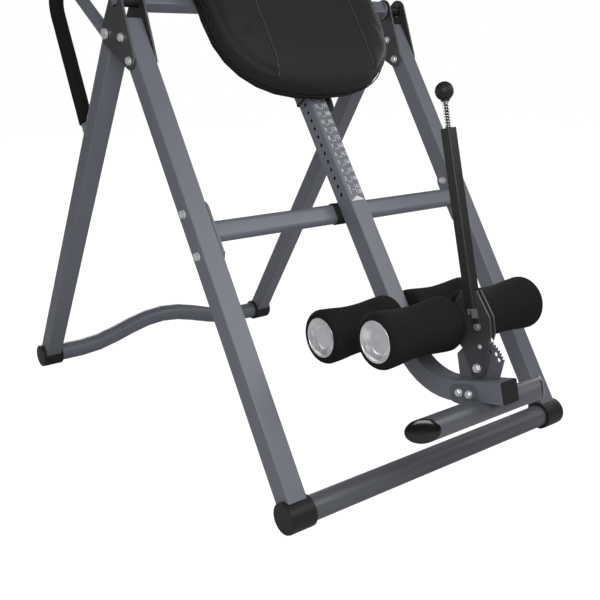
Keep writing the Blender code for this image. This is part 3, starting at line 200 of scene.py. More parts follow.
def dust_group():
    """Thin dust on faces that look up."""
    tree, given, out = shader_group("settled_dust", {"Amount": 0.1}, ("Mask",))
    normal = add(tree, "ShaderNodeNewGeometry").outputs["Normal"]
    up = maths(tree, "MAXIMUM", add(tree, "ShaderNodeSeparateXYZ", {0: normal}).outputs["Z"], 0.0)
    place = add(tree, "ShaderNodeTexCoord").outputs["Object"]
    drift = add(tree, "ShaderNodeTexNoise", {"Vector": place, "Scale": 22.0, "Detail": 6.0}).outputs[0]
    mask = maths(tree, "MULTIPLY", maths(tree, "MULTIPLY", up, drift), given["Amount"], clamp=True)
    tree.links.new(mask, out["Mask"])
    return tree


GRAIN = grain_group()
CELLS = cell_group()
WEAVE = weave_group()
EDGE_WEAR_AND_HIGHLIGHT = edge_wear_and_highlight_group()
DUST = dust_group()
DUST_COLOUR = (0.32, 0.31, 0.29, 1.0)


# Finishes


def blend_colour(tree, share, low, high):
    """Mix of two colours, or of a linked colour and a second one, by a varying share."""
    mix = add(tree, "ShaderNodeMix", {0: share}, data_type="RGBA")
    sockets = [s for s in mix.inputs if s.type == "RGBA"]
    for socket, colour in zip(sockets, (low, high)):
        if isinstance(colour, bpy.types.NodeSocket):
            tree.links.new(colour, socket)
        else:
            socket.default_value = colour
    return [s for s in mix.outputs if s.type == "RGBA"][0]


def finish(name, dark, light, rough, pattern, settings, bump=(0.1, 0.0003), edge=None, dust=0.0, **fixed):
    """Material: two tones and a roughness range led by a pattern group, its bump, edges lightened by rubbed
    wear and painted highlight, and dust.
    """
    material = bpy.data.materials.new(name)
    material.use_nodes = True
    tree = material.node_tree
    shader = tree.nodes["Principled BSDF"]
    grain = add(tree, "ShaderNodeGroup", node_tree=pattern)
    for label, value in settings.items():
        grain.inputs[label].default_value = value
    height, tone = grain.outputs[0], grain.outputs[1]
    colour = blend_colour(tree, tone, (*dark, 1.0), (*light, 1.0))
    # Edges blended towards a lighter edge colour: rubbed wear and painted highlight.
    if edge:
        rubbed_and_highlit = add(tree, "ShaderNodeGroup", node_tree=EDGE_WEAR_AND_HIGHLIGHT)
        rubbed_and_highlit.inputs["Amount"].default_value = edge[0]
        colour = blend_colour(tree, rubbed_and_highlit.outputs["Mask"], colour, (*edge[1], 1.0))
    if dust:
        settled = add(tree, "ShaderNodeGroup", node_tree=DUST)
        settled.inputs["Amount"].default_value = dust
        colour = blend_colour(tree, settled.outputs["Mask"], colour, DUST_COLOUR)
    tree.links.new(colour, shader.inputs["Base Color"])
    span = add(tree, "ShaderNodeMapRange", {"Value": tone, "To Min": rough[0], "To Max": rough[1]})
    tree.links.new(span.outputs[0], shader.inputs["Roughness"])
    relief = add(tree, "ShaderNodeBump", {"Strength": bump[0], "Distance": bump[1], "Height": height})
    tree.links.new(relief.outputs[0], shader.inputs["Normal"])
    for label, value in fixed.items():
        shader.inputs[label.replace("_", " ")].default_value = value
    return material


# Each edge pair below is the amount and colour of the rubbed wear and painted highlight on edges.
PAINT = finish(
    "satin_grey_paint", (0.122, 0.130, 0.154), (0.149, 0.159, 0.189), (0.36, 0.46), GRAIN,
    {"Grain Scale": 900.0, "Patch Scale": 6.0}, (0.06, 0.0004), (0.5, (0.30, 0.31, 0.33)), 0.05,
    Specular_IOR_Level=0.5,
)
# The frame's own paint in a darker copy for the front base tube, ratchet plate and foot rest tube: painted
# shade.
SHADED_TUBE_PAINT = finish(
    "frame_paint_with_painted_shade", (0.078, 0.083, 0.098), (0.098, 0.104, 0.122), (0.36, 0.46), GRAIN,
    {"Grain Scale": 900.0, "Patch Scale": 6.0}, (0.06, 0.0004), (0.5, (0.22, 0.23, 0.25)), 0.02,
    Specular_IOR_Level=0.5,
)
BRACKET = finish(
    "dark_bracket_paint", (0.030, 0.031, 0.034), (0.044, 0.045, 0.049), (0.36, 0.48), GRAIN,
    {"Grain Scale": 1000.0, "Patch Scale": 16.0}, (0.06, 0.0004), (1.1, (0.34, 0.35, 0.36)), 0.05,
)
MOULDED = finish(
    "moulded_black", (0.013, 0.013, 0.014), (0.020, 0.020, 0.021), (0.38, 0.52), GRAIN,
    {"Grain Scale": 2200.0, "Patch Scale": 22.0}, (0.22, 0.0003), (0.35, (0.06, 0.06, 0.06)), 0.02,
    Specular_IOR_Level=0.22,
)
RUBBER = finish(
    "matte_rubber", (0.010, 0.010, 0.010), (0.016, 0.016, 0.016), (0.62, 0.78), GRAIN,
    {"Grain Scale": 1500.0, "Patch Scale": 30.0}, (0.15, 0.0003), None, 0.03,
    Specular_IOR_Level=0.15,
)
GLOSS_RUBBER = finish(
    "polished_rubber", (0.003, 0.003, 0.003), (0.006, 0.006, 0.006), (0.14, 0.22), GRAIN,
    {"Grain Scale": 1200.0, "Patch Scale": 18.0}, (0.03, 0.0003), None, 0.0,
    Specular_IOR_Level=0.5,
)
FOAM = finish(
    "closed_foam", (0.0075, 0.0075, 0.0075), (0.014, 0.014, 0.014), (0.80, 0.95), CELLS,
    {"Cell Scale": 900.0, "Patch Scale": 12.0}, (0.5, 0.0006), None, 0.02,
    Specular_IOR_Level=0.12,
)
COVER = finish(
    "woven_cover", (0.012, 0.012, 0.013), (0.030, 0.030, 0.031), (0.55, 0.72), WEAVE,
    {"Thread Pitch": 0.0013}, (0.35, 0.0004), None, 0.02,
    Specular_IOR_Level=0.15,
)
PIPING = finish(
    "piping_tape", (0.006, 0.006, 0.006), (0.014, 0.014, 0.014), (0.45, 0.6), WEAVE,
    {"Thread Pitch": 0.0008}, (0.3, 0.0003), None, 0.0,
    Specular_IOR_Level=0.2,
)
BOARD_CLOTH = finish(
    "board_cloth", (0.010, 0.010, 0.010), (0.022, 0.022, 0.022), (0.75, 0.9), WEAVE,
    {"Thread Pitch": 0.0022}, (0.5, 0.0006), None, 0.02,
    Specular_IOR_Level=0.12,
)
THREAD = finish(
    "grey_thread", (0.10, 0.10, 0.105), (0.20, 0.20, 0.21), (0.6, 0.75), GRAIN,
    {"Grain Scale": 2500.0, "Patch Scale": 400.0}, (0.3, 0.0003),
)
ZINC = finish(
    "zinc_plate", (0.60, 0.61, 0.62), (0.80, 0.81, 0.82), (0.28, 0.42), CELLS,
    {"Cell Scale": 500.0, "Patch Scale": 120.0}, (0.08, 0.0003), None, 0.03, Metallic=0.5,
)
CHROME = finish(
    "bright_wire", (0.60, 0.61, 0.63), (0.74, 0.75, 0.77), (0.12, 0.22), GRAIN,
    {"Grain Scale": 1800.0, "Patch Scale": 200.0}, (0.04, 0.0002), None, 0.0, Metallic=1.0,
)
LEVER_COAT = finish(
    "black_powder_coat", (0.012, 0.012, 0.0125), (0.019, 0.019, 0.020), (0.34, 0.46), GRAIN,
    {"Grain Scale": 1600.0, "Patch Scale": 15.0}, (0.18, 0.0003), (0.5, (0.10, 0.10, 0.10)), 0.02,
    Specular_IOR_Level=0.35,
)
SILVER = finish(
    "silver_speckle", (0.66, 0.67, 0.70), (0.95, 0.96, 0.98), (0.24, 0.40), CELLS,
    {"Cell Scale": 750.0, "Patch Scale": 260.0}, (0.30, 0.0005), (0.5, (0.85, 0.85, 0.87)), 0.0, Metallic=0.8,
)
CLIP_STEEL = finish(
    "grey_clip_steel", (0.17, 0.17, 0.18), (0.24, 0.24, 0.25), (0.36, 0.50), GRAIN,
    {"Grain Scale": 1400.0, "Patch Scale": 90.0}, (0.06, 0.0003), (0.6, (0.45, 0.45, 0.46)), 0.0,
    Metallic=0.3,
)
INK = finish(
    "white_ink", (0.55, 0.55, 0.55), (0.86, 0.86, 0.86), (0.55, 0.7), GRAIN,
    {"Grain Scale": 900.0, "Patch Scale": 160.0}, (0.05, 0.0002),
)


# The solids that stay: softened edges and their finish


def soften_edges(solid, width, flats=True):
    """Welded seams, whole flats and rounded edges; a tube with rows of holes keeps its own faces."""
    for label in ("custom_normal", "sharp_edge"):
        if label in solid.data.attributes:
            solid.data.attributes.remove(solid.data.attributes[label])
    solid.data.shade_smooth()
    seams = solid.modifiers.new("joined_seams", "WELD")
    seams.merge_threshold = 0.00002
    if flats:
        whole = solid.modifiers.new("whole_flats", "DECIMATE")
        whole.decimate_type = "DISSOLVE"
        whole.angle_limit = radians(0.6)
    rounding = solid.modifiers.new("soft_edges", "BEVEL")
    rounding.width = width
    rounding.segments = 2
    rounding.limit_method = "ANGLE"
    rounding.angle_limit = radians(38)
    shading = solid.modifiers.new("flat_faces", "WEIGHTED_NORMAL")
    shading.mode = "FACE_AREA"
    shading.keep_sharp = True


def dress(node, material, soften):
    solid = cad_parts[node]
    solid.data.materials.clear()
    solid.data.materials.append(material)
    soften_edges(solid, soften, node not in HOLED)


HOLED = ("boom_tube",)
SOFTEN = {
    PAINT: 0.0007, SHADED_TUBE_PAINT: 0.0007, BRACKET: 0.0005, MOULDED: 0.0009, ZINC: 0.0006,
    LEVER_COAT: 0.0006, BOARD_CLOTH: 0.0025,
}
KEPT = {
    PAINT: (
        "rear_base_tube", "front_leg_left", "front_leg_right", "rear_leg_left",
        "rear_leg_right", "crossbar", "handlebar_left", "handlebar_right", "bed_sleeve", "bed_rail_lower",
        "bed_rail_upper", "pivot_arm_left", "pivot_arm_right", "selector_housing", "clamp_boss", "boom_tube",
    ),
    SHADED_TUBE_PAINT: ("front_base_tube", "ratchet_plate", "footrest_tube"),
    BRACKET: (
        "hinge_plate_left_outer", "hinge_plate_left_inner", "hinge_plate_right_outer",
        "hinge_plate_right_inner", "clamp_arm",
    ),
    MOULDED: (
        "front_foot_cap_left", "front_foot_cap_right", "rear_foot_cap_left", "rear_foot_cap_right",
        "pivot_bush_left", "pivot_bush_right", "clamp_lever", "boom_end_plug", "lever_bush",
    ),
    BOARD_CLOTH: ("backrest_board",),
    ZINC: ("hinge_bolt_left", "hinge_bolt_right", "pawl", "rear_axle"),
}
for material, nodes in KEPT.items():
    for node in nodes:
        dress(node, material, SOFTEN[material])


# Mesh helpers


def polar(radius, angle, centre=(0.0, 0.0)):
    return (centre[0] + radius * cos(angle), centre[1] + radius * sin(angle))


def rounded_line(half_wide, half_tall, corner, steps=8):
    """Points round a rounded rectangle."""
    line = []
    for quarter, (a, b) in enumerate(((1, 1), (-1, 1), (-1, -1), (1, -1))):
        centre = (a * (half_wide - corner), b * (half_tall - corner))
        line += [polar(corner, (quarter + i / steps) * pi / 2, centre) for i in range(steps + 1)]
    return line


def skin(bm, loops, closed=False):
    """Faces from each loop to the next; then flat ends, or faces back to the first loop."""
    pairs = list(zip(loops, loops[1:]))
    if closed:
        pairs.append((loops[-1], loops[0]))
    for low, high in pairs:
        for i in range(len(low)):
            bm.faces.new((low[i - 1], low[i], high[i], high[i - 1]))
    if not closed:
        bm.faces.new(loops[0])
        bm.faces.new(loops[-1])
    return bm


def lathe(profile, steps=64, ring=False, bm=None, place=Matrix(), shape=None):
    """Turned form about X from (x, radius) points; shape may change the radius by place and angle."""
    bm = bm or bmesh.new()
    rings = []
    for x, radius in profile:
        count = steps if radius else 1
        loop = []
        for i in range(count):
            angle = 2 * pi * i / steps
            reach = shape(x, radius, angle) if shape and radius else radius
            loop.append(bm.verts.new(place @ Vector((x, *polar(reach, angle)))))
        rings.append(loop)
    pairs = list(zip(rings, rings[1:]))
    if ring:
        pairs.append((rings[-1], rings[0]))
    for low, high in pairs:
        for i in range(steps):
            j = (i + 1) % steps
            corners = [low[i % len(low)], low[j % len(low)], high[j % len(high)], high[i % len(high)]]
            bm.faces.new(list(dict.fromkeys(corners)))
    return bm


def sweep(points, radii, sides=12, closed=False, bm=None, across=None):
    """Tube along points; an open one gets flat ends. Frames are carried along without twist."""
    bm = bm or bmesh.new()
    points = [Vector(p) for p in points]
    count = len(points)
    radii = radii if isinstance(radii, (list, tuple)) else [radii] * count
    side = None
    rings = []
    for i, point in enumerate(points):
        before = points[i - 1] if i or closed else point
        after = points[(i + 1) % count] if i + 1 < count or closed else point
        along = (after - before).normalized()
        if side is None:
            side = Vector(across) if across else along.orthogonal()
        side = (side - along * side.dot(along)).normalized()
        up = along.cross(side)
        rings.append(
            [
                bm.verts.new(point + (side * cos(a) + up * sin(a)) * radii[i])
                for a in (2 * pi * k / sides for k in range(sides))
            ]
        )
    return skin(bm, rings, closed)


def linked(name, data):
    """New object in the scene."""
    made = bpy.data.objects.new(name, data)
    bpy.context.scene.collection.objects.link(made)
    return made


def make(name, bm, place, material, body, sharp=40):
    """New piece in the row frame that rides on a body."""
    bmesh.ops.recalc_face_normals(bm, faces=bm.faces)
    bm.transform(place)
    mesh = bpy.data.meshes.new(name)
    bm.to_mesh(mesh)
    bm.free()
    mesh.shade_smooth()
    mesh.set_sharp_from_angle(angle=radians(sharp))
    mesh.materials.append(material)
    piece = linked(name, mesh)
    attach(piece, body)
    return piece


# The lever: its solid made stouter and leaning a little more about a point near its top
LEVER_FULL = 1.17
LEVER_HOLD = 0.274
LEVER_TILT = -0.028
lever_lean = Matrix.Translation((0, 0, LEVER_HOLD)) @ Matrix.Rotation(LEVER_TILT, 4, "X")
lever_lean = lever_lean @ Matrix.Translation((0, 0, -LEVER_HOLD))
lever_full = lever_lean @ Matrix.Diagonal((LEVER_FULL, LEVER_FULL, 1, 1))
lever_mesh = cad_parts["lever_tube"].data.copy()
lever_mesh.name = "lever_bar"
lever_mesh.transform(LEVER @ lever_full @ LEVER.inverted())
lever_mesh.materials.clear()
lever_mesh.materials.append(LEVER_COAT)
lever_bar = linked("lever_bar", lever_mesh)
soften_edges(lever_bar, SOFTEN[LEVER_COAT])
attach(lever_bar, "ankle_clamp")
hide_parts("lever_tube")


# Rubber bumper round the crossbar and plastic lip round the boom


def sleeve_form(stations):
    """Closed sleeve along X from (x, half_wide, half_tall, corner) stations, outside then back inside."""
    bm = bmesh.new()
    rings = [[bm.verts.new((x, y, z)) for y, z in rounded_line(*size)] for x, *size in stations]
    return skin(bm, rings, closed=True)


BAR_HALF_DEEP, BAR_HALF_TALL, BAR_CORNER = 0.011, 0.020, 0.010
BUMPER_HALF, BUMPER_WALL, BUMPER_LIP, BUMPER_GAP = 0.030, 0.0021, 0.0006, 0.0002


def off_bar(x, gap):
    return (x, BAR_HALF_DEEP + gap, BAR_HALF_TALL + gap, BAR_CORNER + gap)


bumper = sleeve_form([
    off_bar(-BUMPER_HALF, BUMPER_GAP),
    off_bar(-BUMPER_HALF, BUMPER_WALL - BUMPER_LIP),
    off_bar(-BUMPER_HALF + BUMPER_LIP, BUMPER_WALL),
    off_bar(BUMPER_HALF - BUMPER_LIP, BUMPER_WALL),
    off_bar(BUMPER_HALF, BUMPER_WALL - BUMPER_LIP),
    off_bar(BUMPER_HALF, BUMPER_GAP),
])
on_crossbar = FRONT_LEGS @ Matrix.Translation((0, 0, CROSSBAR_UP))
bumper = make("rubber_bumper", bumper, on_crossbar, RUBBER, "front_frame", 60)
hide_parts("crossbar_bumper")

LIP_TOP, LIP_LOW, LIP_HALF, LIP_BORE = -0.2245, -0.2276, 0.0240, 0.0203
LIP_CORNER, LIP_CHAMFER = 0.006, 0.0008
lip_low_half = LIP_HALF - LIP_CHAMFER
lip = sleeve_form([
    (LIP_TOP, LIP_BORE, LIP_BORE, TUBE_CORNER),
    (LIP_TOP, LIP_HALF, LIP_HALF, LIP_CORNER),
    (LIP_LOW + LIP_CHAMFER, LIP_HALF, LIP_HALF, LIP_CORNER),
    (LIP_LOW, lip_low_half, lip_low_half, LIP_CORNER - LIP_CHAMFER),
    (LIP_LOW, LIP_BORE, LIP_BORE, TUBE_CORNER),
])
lip.transform(Matrix.Rotation(-pi / 2, 4, "Y"))
lip = make("sleeve_lip", lip, BED, MOULDED, "bed", 60)
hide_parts("sleeve_collar")


# Foam rollers with their dished caps


def roller_skin(inner, outer, rim, seat):
    """Half section of a foam roller: rounded ends, a slim middle and a seat for the cap."""
    low, high = inner + ROLLER_EDGE, outer - ROLLER_EDGE

    def radius(x):
        return ROLLER_RADIUS - ROLLER_WAIST * (1 - cos(2 * pi * (x - inner) / (outer - inner))) / 2

    edge_steps, wave_steps = 10, 36
    left = [polar(1.0, pi / 2 * i / edge_steps) for i in range(edge_steps)]
    start = [(low - ROLLER_EDGE * c, radius(low) - ROLLER_EDGE * (1 - s)) for c, s in left]
    wave = [low + (high - low) * i / wave_steps for i in range(wave_steps + 1)]
    end = [(high + ROLLER_EDGE * c, radius(high) - ROLLER_EDGE * (1 - s)) for c, s in reversed(left)]
    end = [(x, max(r, rim) if x > seat else r) for x, r in end]
    return [(inner, AXLE_RADIUS), *start, *[(x, radius(x)) for x in wave], *end, (outer, rim), (seat, rim),
            (seat, AXLE_RADIUS)]


def soft_dents(seed):
    """Foam is never quite true: shallow dents of a fraction of a millimetre."""

    def shape(x, radius, angle):
        if radius <= ROLLER_CAP_RADIUS + 0.001:
            return radius
        spot = Vector((x * 28 + seed, cos(angle) * 1.6, sin(angle) * 1.6))
        fine = Vector((x * 160, cos(angle) * 7 + seed, sin(angle) * 7))
        return radius + 0.00045 * noise.noise(spot) + 0.00012 * noise.noise(fine)

    return shape


def cap_dish(seat, outer):
    """Half section of a cap: rolled rim, sloping wall and a shallow domed floor."""
    rim, depth = ROLLER_CAP_RADIUS, ROLLER_CAP_DISH
    roll = 0.0011
    section = [(seat + 0.0003, 0.0), (seat + 0.0003, rim - 0.0004), (outer - roll, rim - 0.0002)]
    section += [(outer - roll + roll * s, rim - 0.0002 - roll * (1 - c))
                for c, s in (polar(1.0, pi / 2 * i / 5) for i in range(1, 6))]
    section += [(outer - roll * (1 - c), rim - 0.0002 - roll * (1 + s))
                for c, s in (polar(1.0, pi / 2 * i / 5) for i in range(1, 6))]
    wall_out, wall_in = rim - 0.0002 - 2 * roll, rim * 0.52
    steps = 14
    for i in range(1, steps + 1):
        share = i / steps
        fall = share * share * (3 - 2 * share)
        section.append((outer - roll - (depth - roll) * fall, wall_out + (wall_in - wall_out) * share))
    section += [(outer - depth + 0.0006 * (1 - share * share), wall_in * share)
                for share in (0.8, 0.6, 0.4, 0.2)]
    return [*section, (outer - depth + 0.0006, 0.0)]


def roller_pair(label, body, place, inner):
    outer = inner + ROLLER_LONG
    seat = outer - ROLLER_CAP_SEAT
    rim = ROLLER_CAP_RADIUS + 0.0003
    for side, sign in SIDES:
        mirror = place @ Matrix.Diagonal((sign, 1, 1, 1))
        foam = lathe(roller_skin(inner, outer, rim, seat), 96, ring=True, shape=soft_dents(sign * inner * 90))
        roller = make(f"foam_{label}_roller_{side}", foam, mirror, FOAM, body)
        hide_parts(f"{label}_roller_{side}")
        cap = make(f"dished_{label}_cap_{side}", lathe(cap_dish(seat, outer), 72), mirror, SILVER, body)
        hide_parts(f"{label}_roller_cap_{side}")


roller_pair("front", "ankle_clamp", ANKLE @ Matrix.Translation((0, *FRONT_AXLE)), ROLLER_X)
roller_pair("rear", "boom", BED @ Matrix.Translation((0, 0, -REAR_AXLE_DROP)), ROLLER_X)


# Handlebar grips


def bent_path(start, heading, moves):
    """Points (y, z) along (length, turn, steps) moves from a heading."""
    y, z = start
    points = [(y, z)]
    for length, turn, steps in moves:
        step_turn = turn / steps
        chord = length / steps if turn == 0 else length / turn * 2 * sin(step_turn / 2)
        for _ in range(steps):
            y, z = polar(chord, heading + step_turn / 2, (y, z))
            heading += step_turn
            points.append((y, z))
    return points


GRIP_START = (0.0495, -0.2470)
GRIP_LEAN = radians(31.3)
GRIP_RUN, GRIP_EDGE = 0.2497, 0.0016
TOP_BEND = 0.050
grip_path = bent_path(
    GRIP_START, GRIP_LEAN,
    [(GRIP_EDGE, 0, 1), (GRIP_RUN - GRIP_EDGE, 0, 24), (TOP_BEND * (pi - GRIP_LEAN), pi - GRIP_LEAN, 30)],
)
for side, sign in SIDES:
    line = [(sign * LEG_X, y, z) for y, z in grip_path]
    radii = [GRIP_RADIUS + 0.00025 * noise.noise(Vector((i * 0.35, sign, 0))) for i in range(len(line))]
    radii[0] = radii[-1] = GRIP_RADIUS - GRIP_EDGE
    grip = make(f"foam_grip_{side}", sweep(line, radii, 28), REAR_FRAME, FOAM, "rear_frame", 60)
    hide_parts(f"handlebar_grip_{side}")


# Backrest cushion: crowned pad swollen by cloth pressure, with sewn side bolsters and a piped edge
END_POWER = 2.5
TIP_X, TIP_LEVEL, TOP_LEVEL = 0.120, -0.214, 0.395
BOLSTER_SHARE = 0.925
SWELL = 0.004
CHANNEL_DEPTH, CHANNEL_HALF = 0.0042, 0.0045
BOLSTER_RISE = 0.004
PIPE_RADIUS = 0.0013
PAD_EDGE, PAD_WALL, PAD_ROLL, PAD_FULL = 0.990, 0.006, 12, 0.35
PIPE_SHARE, PIPE_LEVEL = 0.992, 0.0035


def backrest_outline(end_points=49, side_points=24):
    power = 2 / END_POWER
    lower, upper = [], []
    for i in range(end_points):
        angle = pi * i / (end_points - 1)
        wide = copysign(abs(cos(angle)) ** power, cos(angle))
        tall = abs(sin(angle)) ** power
        lower.append((SEAT_HALF * wide, SEAT_LEVEL - SEAT_DEPTH * tall))
        upper.append((-HEAD_HALF * wide, HEAD_LEVEL + HEAD_DEPTH * tall))
    outline = []
    for end, following in ((lower, upper), (upper, lower)):
        first, last = Vector(end[-1]), Vector(following[0])
        outline += end
        outline += [tuple(first.lerp(last, i / side_points)) for i in range(1, side_points)]
    return outline


OUTLINE = backrest_outline()


def drawn_in(point, share):
    """Point of the outline drawn towards the backrest's middle line."""
    x, z = point
    spine = min(max(z, SEAT_LEVEL), HEAD_LEVEL)
    return (x * share, spine + (z - spine) * share)


def pad_shell():
    rings = [(0.980, 0.0), (PAD_EDGE, 0.002), (PAD_EDGE, PAD_WALL)]
    for share in (0.987, 0.982, 0.975, 0.962, 0.94, 0.91, 0.87, 0.82, 0.75, 0.66, 0.54, 0.40, 0.25, 0.12):
        roll = 1 - (share / PAD_EDGE) ** PAD_ROLL
        rings.append((share, PAD_WALL + (CUSHION_CROWN - PAD_WALL) * roll ** PAD_FULL))
    bm = bmesh.new()
    loops = []
    for share, height in rings:
        placed = [drawn_in(p, share) for p in OUTLINE]
        loops.append([bm.verts.new((x, CUSHION_BACK - height, z)) for x, z in placed])
    skin(bm, loops)
    bmesh.ops.recalc_face_normals(bm, faces=bm.faces)
    return bm


def evaluated_mesh(obj):
    graph = bpy.context.evaluated_depsgraph_get()
    return bpy.data.meshes.new_from_object(obj.evaluated_get(graph))


def swollen(obj):
    """Cloth pressure fills the cover out; the back stays flat on the board and no point moves too far."""
    mesh = obj.data
    rest = [v.co.copy() for v in mesh.vertices]
    held = obj.vertex_groups.new(name="on_board")
    held.add([i for i, co in enumerate(rest) if co.y > CUSHION_BACK - 0.0025], 1.0, "REPLACE")
    cloth = obj.modifiers.new("filling", "CLOTH")
    cloth.settings.use_pressure = True
    cloth.settings.uniform_pressure_force = 4.0
    cloth.settings.effector_weights.gravity = 0.0
    cloth.settings.vertex_group_mass = "on_board"
    cloth.settings.quality = 5
    cloth.point_cache.frame_start = 1
    cloth.point_cache.frame_end = 20
    scene = bpy.context.scene
    for step in range(1, 21):
        scene.frame_set(step)
    filled = evaluated_mesh(obj)
    obj.modifiers.remove(cloth)
    obj.vertex_groups.clear()
    for vertex, before, after in zip(mesh.vertices, rest, filled.vertices):
        move = after.co - before
        if move.length > SWELL:
            move *= SWELL / move.length
        vertex.co = before + move
    bpy.data.meshes.remove(filled)
    scene.frame_set(1)


def seam_lines():
    """Sewn lines (x, z): an inner seam, and an outer one that follows the edge, on each side."""
    lines = []
    edge = [drawn_in(p, BOLSTER_SHARE) for p in OUTLINE]
    for _, sign in SIDES:
        steps = 60
        inner = [(sign * TIP_X, TIP_LEVEL + (TOP_LEVEL - TIP_LEVEL) * i / steps) for i in range(steps + 1)]
        outer = [p for p in edge if p[0] * sign > 0.150 and -0.200 < p[1] < 0.400]
        outer.sort(key=lambda p: p[1])
        lead_in = [Vector(inner[0]).lerp(Vector(outer[0]), i / 8) for i in range(8)]
        lead_out = [Vector(outer[-1]).lerp(Vector(inner[-1]), i / 8) for i in range(1, 9)]
        outer = [tuple(p) for p in lead_in] + outer + [tuple(p) for p in lead_out]
        lines.append((inner, outer))
    return lines


SEAMS = seam_lines()


def near(point, line):
    best = 1.0
    for (ax, az), (bx, bz) in zip(line, line[1:]):
        dx, dz = bx - ax, bz - az
        long = dx * dx + dz * dz
        share = 0.0
        if long:
            share = min(max(((point[0] - ax) * dx + (point[1] - az) * dz) / long, 0.0), 1.0)
        best = min(best, hypot(point[0] - ax - share * dx, point[1] - az - share * dz))
    return best


def sew(mesh):
    """Press the seams into the front of the pad and fill the bolsters between them."""
    for vertex in mesh.vertices:
        x, y, z = vertex.co
        if y > CUSHION_BACK - 0.020:
            continue
        inner, outer = SEAMS[0] if x < 0 else SEAMS[1]
        gap_in, gap_out = near((x, z), inner), near((x, z), outer)
        groove = exp(-((min(gap_in, gap_out) / CHANNEL_HALF) ** 2))
        rise = 0.0
        if abs(x) > TIP_X and TIP_LEVEL < z < TOP_LEVEL and gap_in + gap_out > 0:
            full = 4 * gap_in * gap_out / (gap_in + gap_out) ** 2
            rise = BOLSTER_RISE * full if abs(x) < 0.2 else 0.0
        vertex.co.y = y + CHANNEL_DEPTH * groove - rise


def cushion():
    shell = bpy.data.meshes.new("pad_shell")
    bm = pad_shell()
    bm.to_mesh(shell)
    bm.free()
    pad = linked("backrest_pad", shell)
    remesh = pad.modifiers.new("even_cover", "REMESH")
    remesh.mode = "VOXEL"
    remesh.voxel_size = 0.0055
    pad.data = evaluated_mesh(pad)
    pad.modifiers.clear()
    bpy.data.meshes.remove(shell)
    swollen(pad)
    sew(pad.data)
    corners = [v.co[:] for v in pad.data.vertices]
    front = BVHTree.FromPolygons(corners, [p.vertices[:] for p in pad.data.polygons])
    pad.data.transform(BED)
    pad.data.shade_smooth()
    pad.data.materials.clear()
    pad.data.materials.append(COVER)
    finer = pad.modifiers.new("smooth_cover", "SUBSURF")
    finer.levels = finer.render_levels = 1
    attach(pad, "bed")
    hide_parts("backrest_cushion")
    return front


cover_front = cushion()

pipe = [drawn_in(p, PIPE_SHARE) for p in OUTLINE]
pipe = [(x, CUSHION_BACK - PIPE_LEVEL, z) for x, z in pipe]
pipe = [p for p, q in zip(pipe, pipe[1:] + pipe[:1]) if (Vector(p) - Vector(q)).length > 1e-5]
make("cushion_piping", sweep(pipe, PIPE_RADIUS, 10, closed=True, across=(0, 1, 0)), BED, PIPING, "bed", 80)


def on_cover(x, z):
    return cover_front.ray_cast(Vector((x, CUSHION_BACK - 0.2, z)), Vector((0, 1, 0)))[0]


STITCH, STITCH_GAP = 0.0052, 0.0016
STITCH_RADIUS, STITCH_LIFT = 0.0005, 0.0006
stitch_radii = [STITCH_RADIUS * share for share in (0.7, 1.0, 1.0, 1.0, 0.7)]
for (side, sign), (inner, _) in zip(SIDES, SEAMS):
    stitches = bmesh.new()
    level = TIP_LEVEL
    while level < TOP_LEVEL - STITCH:
        ends = [on_cover(sign * TIP_X, level + share * STITCH) for share in (0.0, 0.25, 0.5, 0.75, 1.0)]
        raised = [p - Vector((0, STITCH_LIFT * lift, 0)) for p, lift in zip(ends, (-0.6, 0.4, 0.7, 0.4, -0.6))]
        sweep(raised, stitch_radii, 6, bm=stitches)
        level += STITCH + STITCH_GAP
    make(f"seam_stitches_{side}", stitches, BED, THREAD, "bed", 80)


# Fasteners: hexagon heads and nuts as (width across flats, height)
WASHER_THICK, WASHER_EDGE = 0.0012, 0.0003
SUNK = 0.0002
FRAME_HEAD, FRAME_NUT = (0.013, 0.0052), (0.013, 0.0058)
SADDLE_HEAD, RAIL_HEAD = (0.012, 0.0045), (0.010, 0.0040)


def hex_form(bm, place, across, tall, washer=1.25, stub=0.0):
    """Hexagon head or nut on a washer, standing along +X; a stub is a bolt end through a nut."""
    corner = across / 2 / cos(pi / 6)
    flat = WASHER_THICK
    rim = across / 2 * washer
    disc = [(0, 0), (0, rim - WASHER_EDGE), (WASHER_EDGE, rim), (flat - WASHER_EDGE, rim)]
    lathe([*disc, (flat, rim - WASHER_EDGE), (flat, 0)], 28, bm=bm, place=place)
    crown = flat + tall
    head = [(flat - SUNK, 0), (flat - SUNK, corner * 0.97), (flat + 0.0005, corner)]
    head += [(crown - tall * 0.22, corner), (crown, corner * 0.84), (crown, 0)]
    lathe(head, 6, bm=bm, place=place)
    if stub:
        turns = 5
        thread = [(crown - SUNK, 0)]
        for i in range(turns):
            low = crown - SUNK + stub * i / turns
            thread += [(low, across * 0.24), (low + stub / turns / 2, across * 0.285)]
        thread += [(crown + stub, across * 0.23), (crown + stub, 0)]
        lathe(thread, 20, bm=bm, place=place)


def facing(point, heading):
    """Frame whose X points along a heading."""
    heading = Vector(heading).normalized()
    return Matrix.Translation(point) @ heading.to_track_quat("X", "Z").to_matrix().to_4x4()


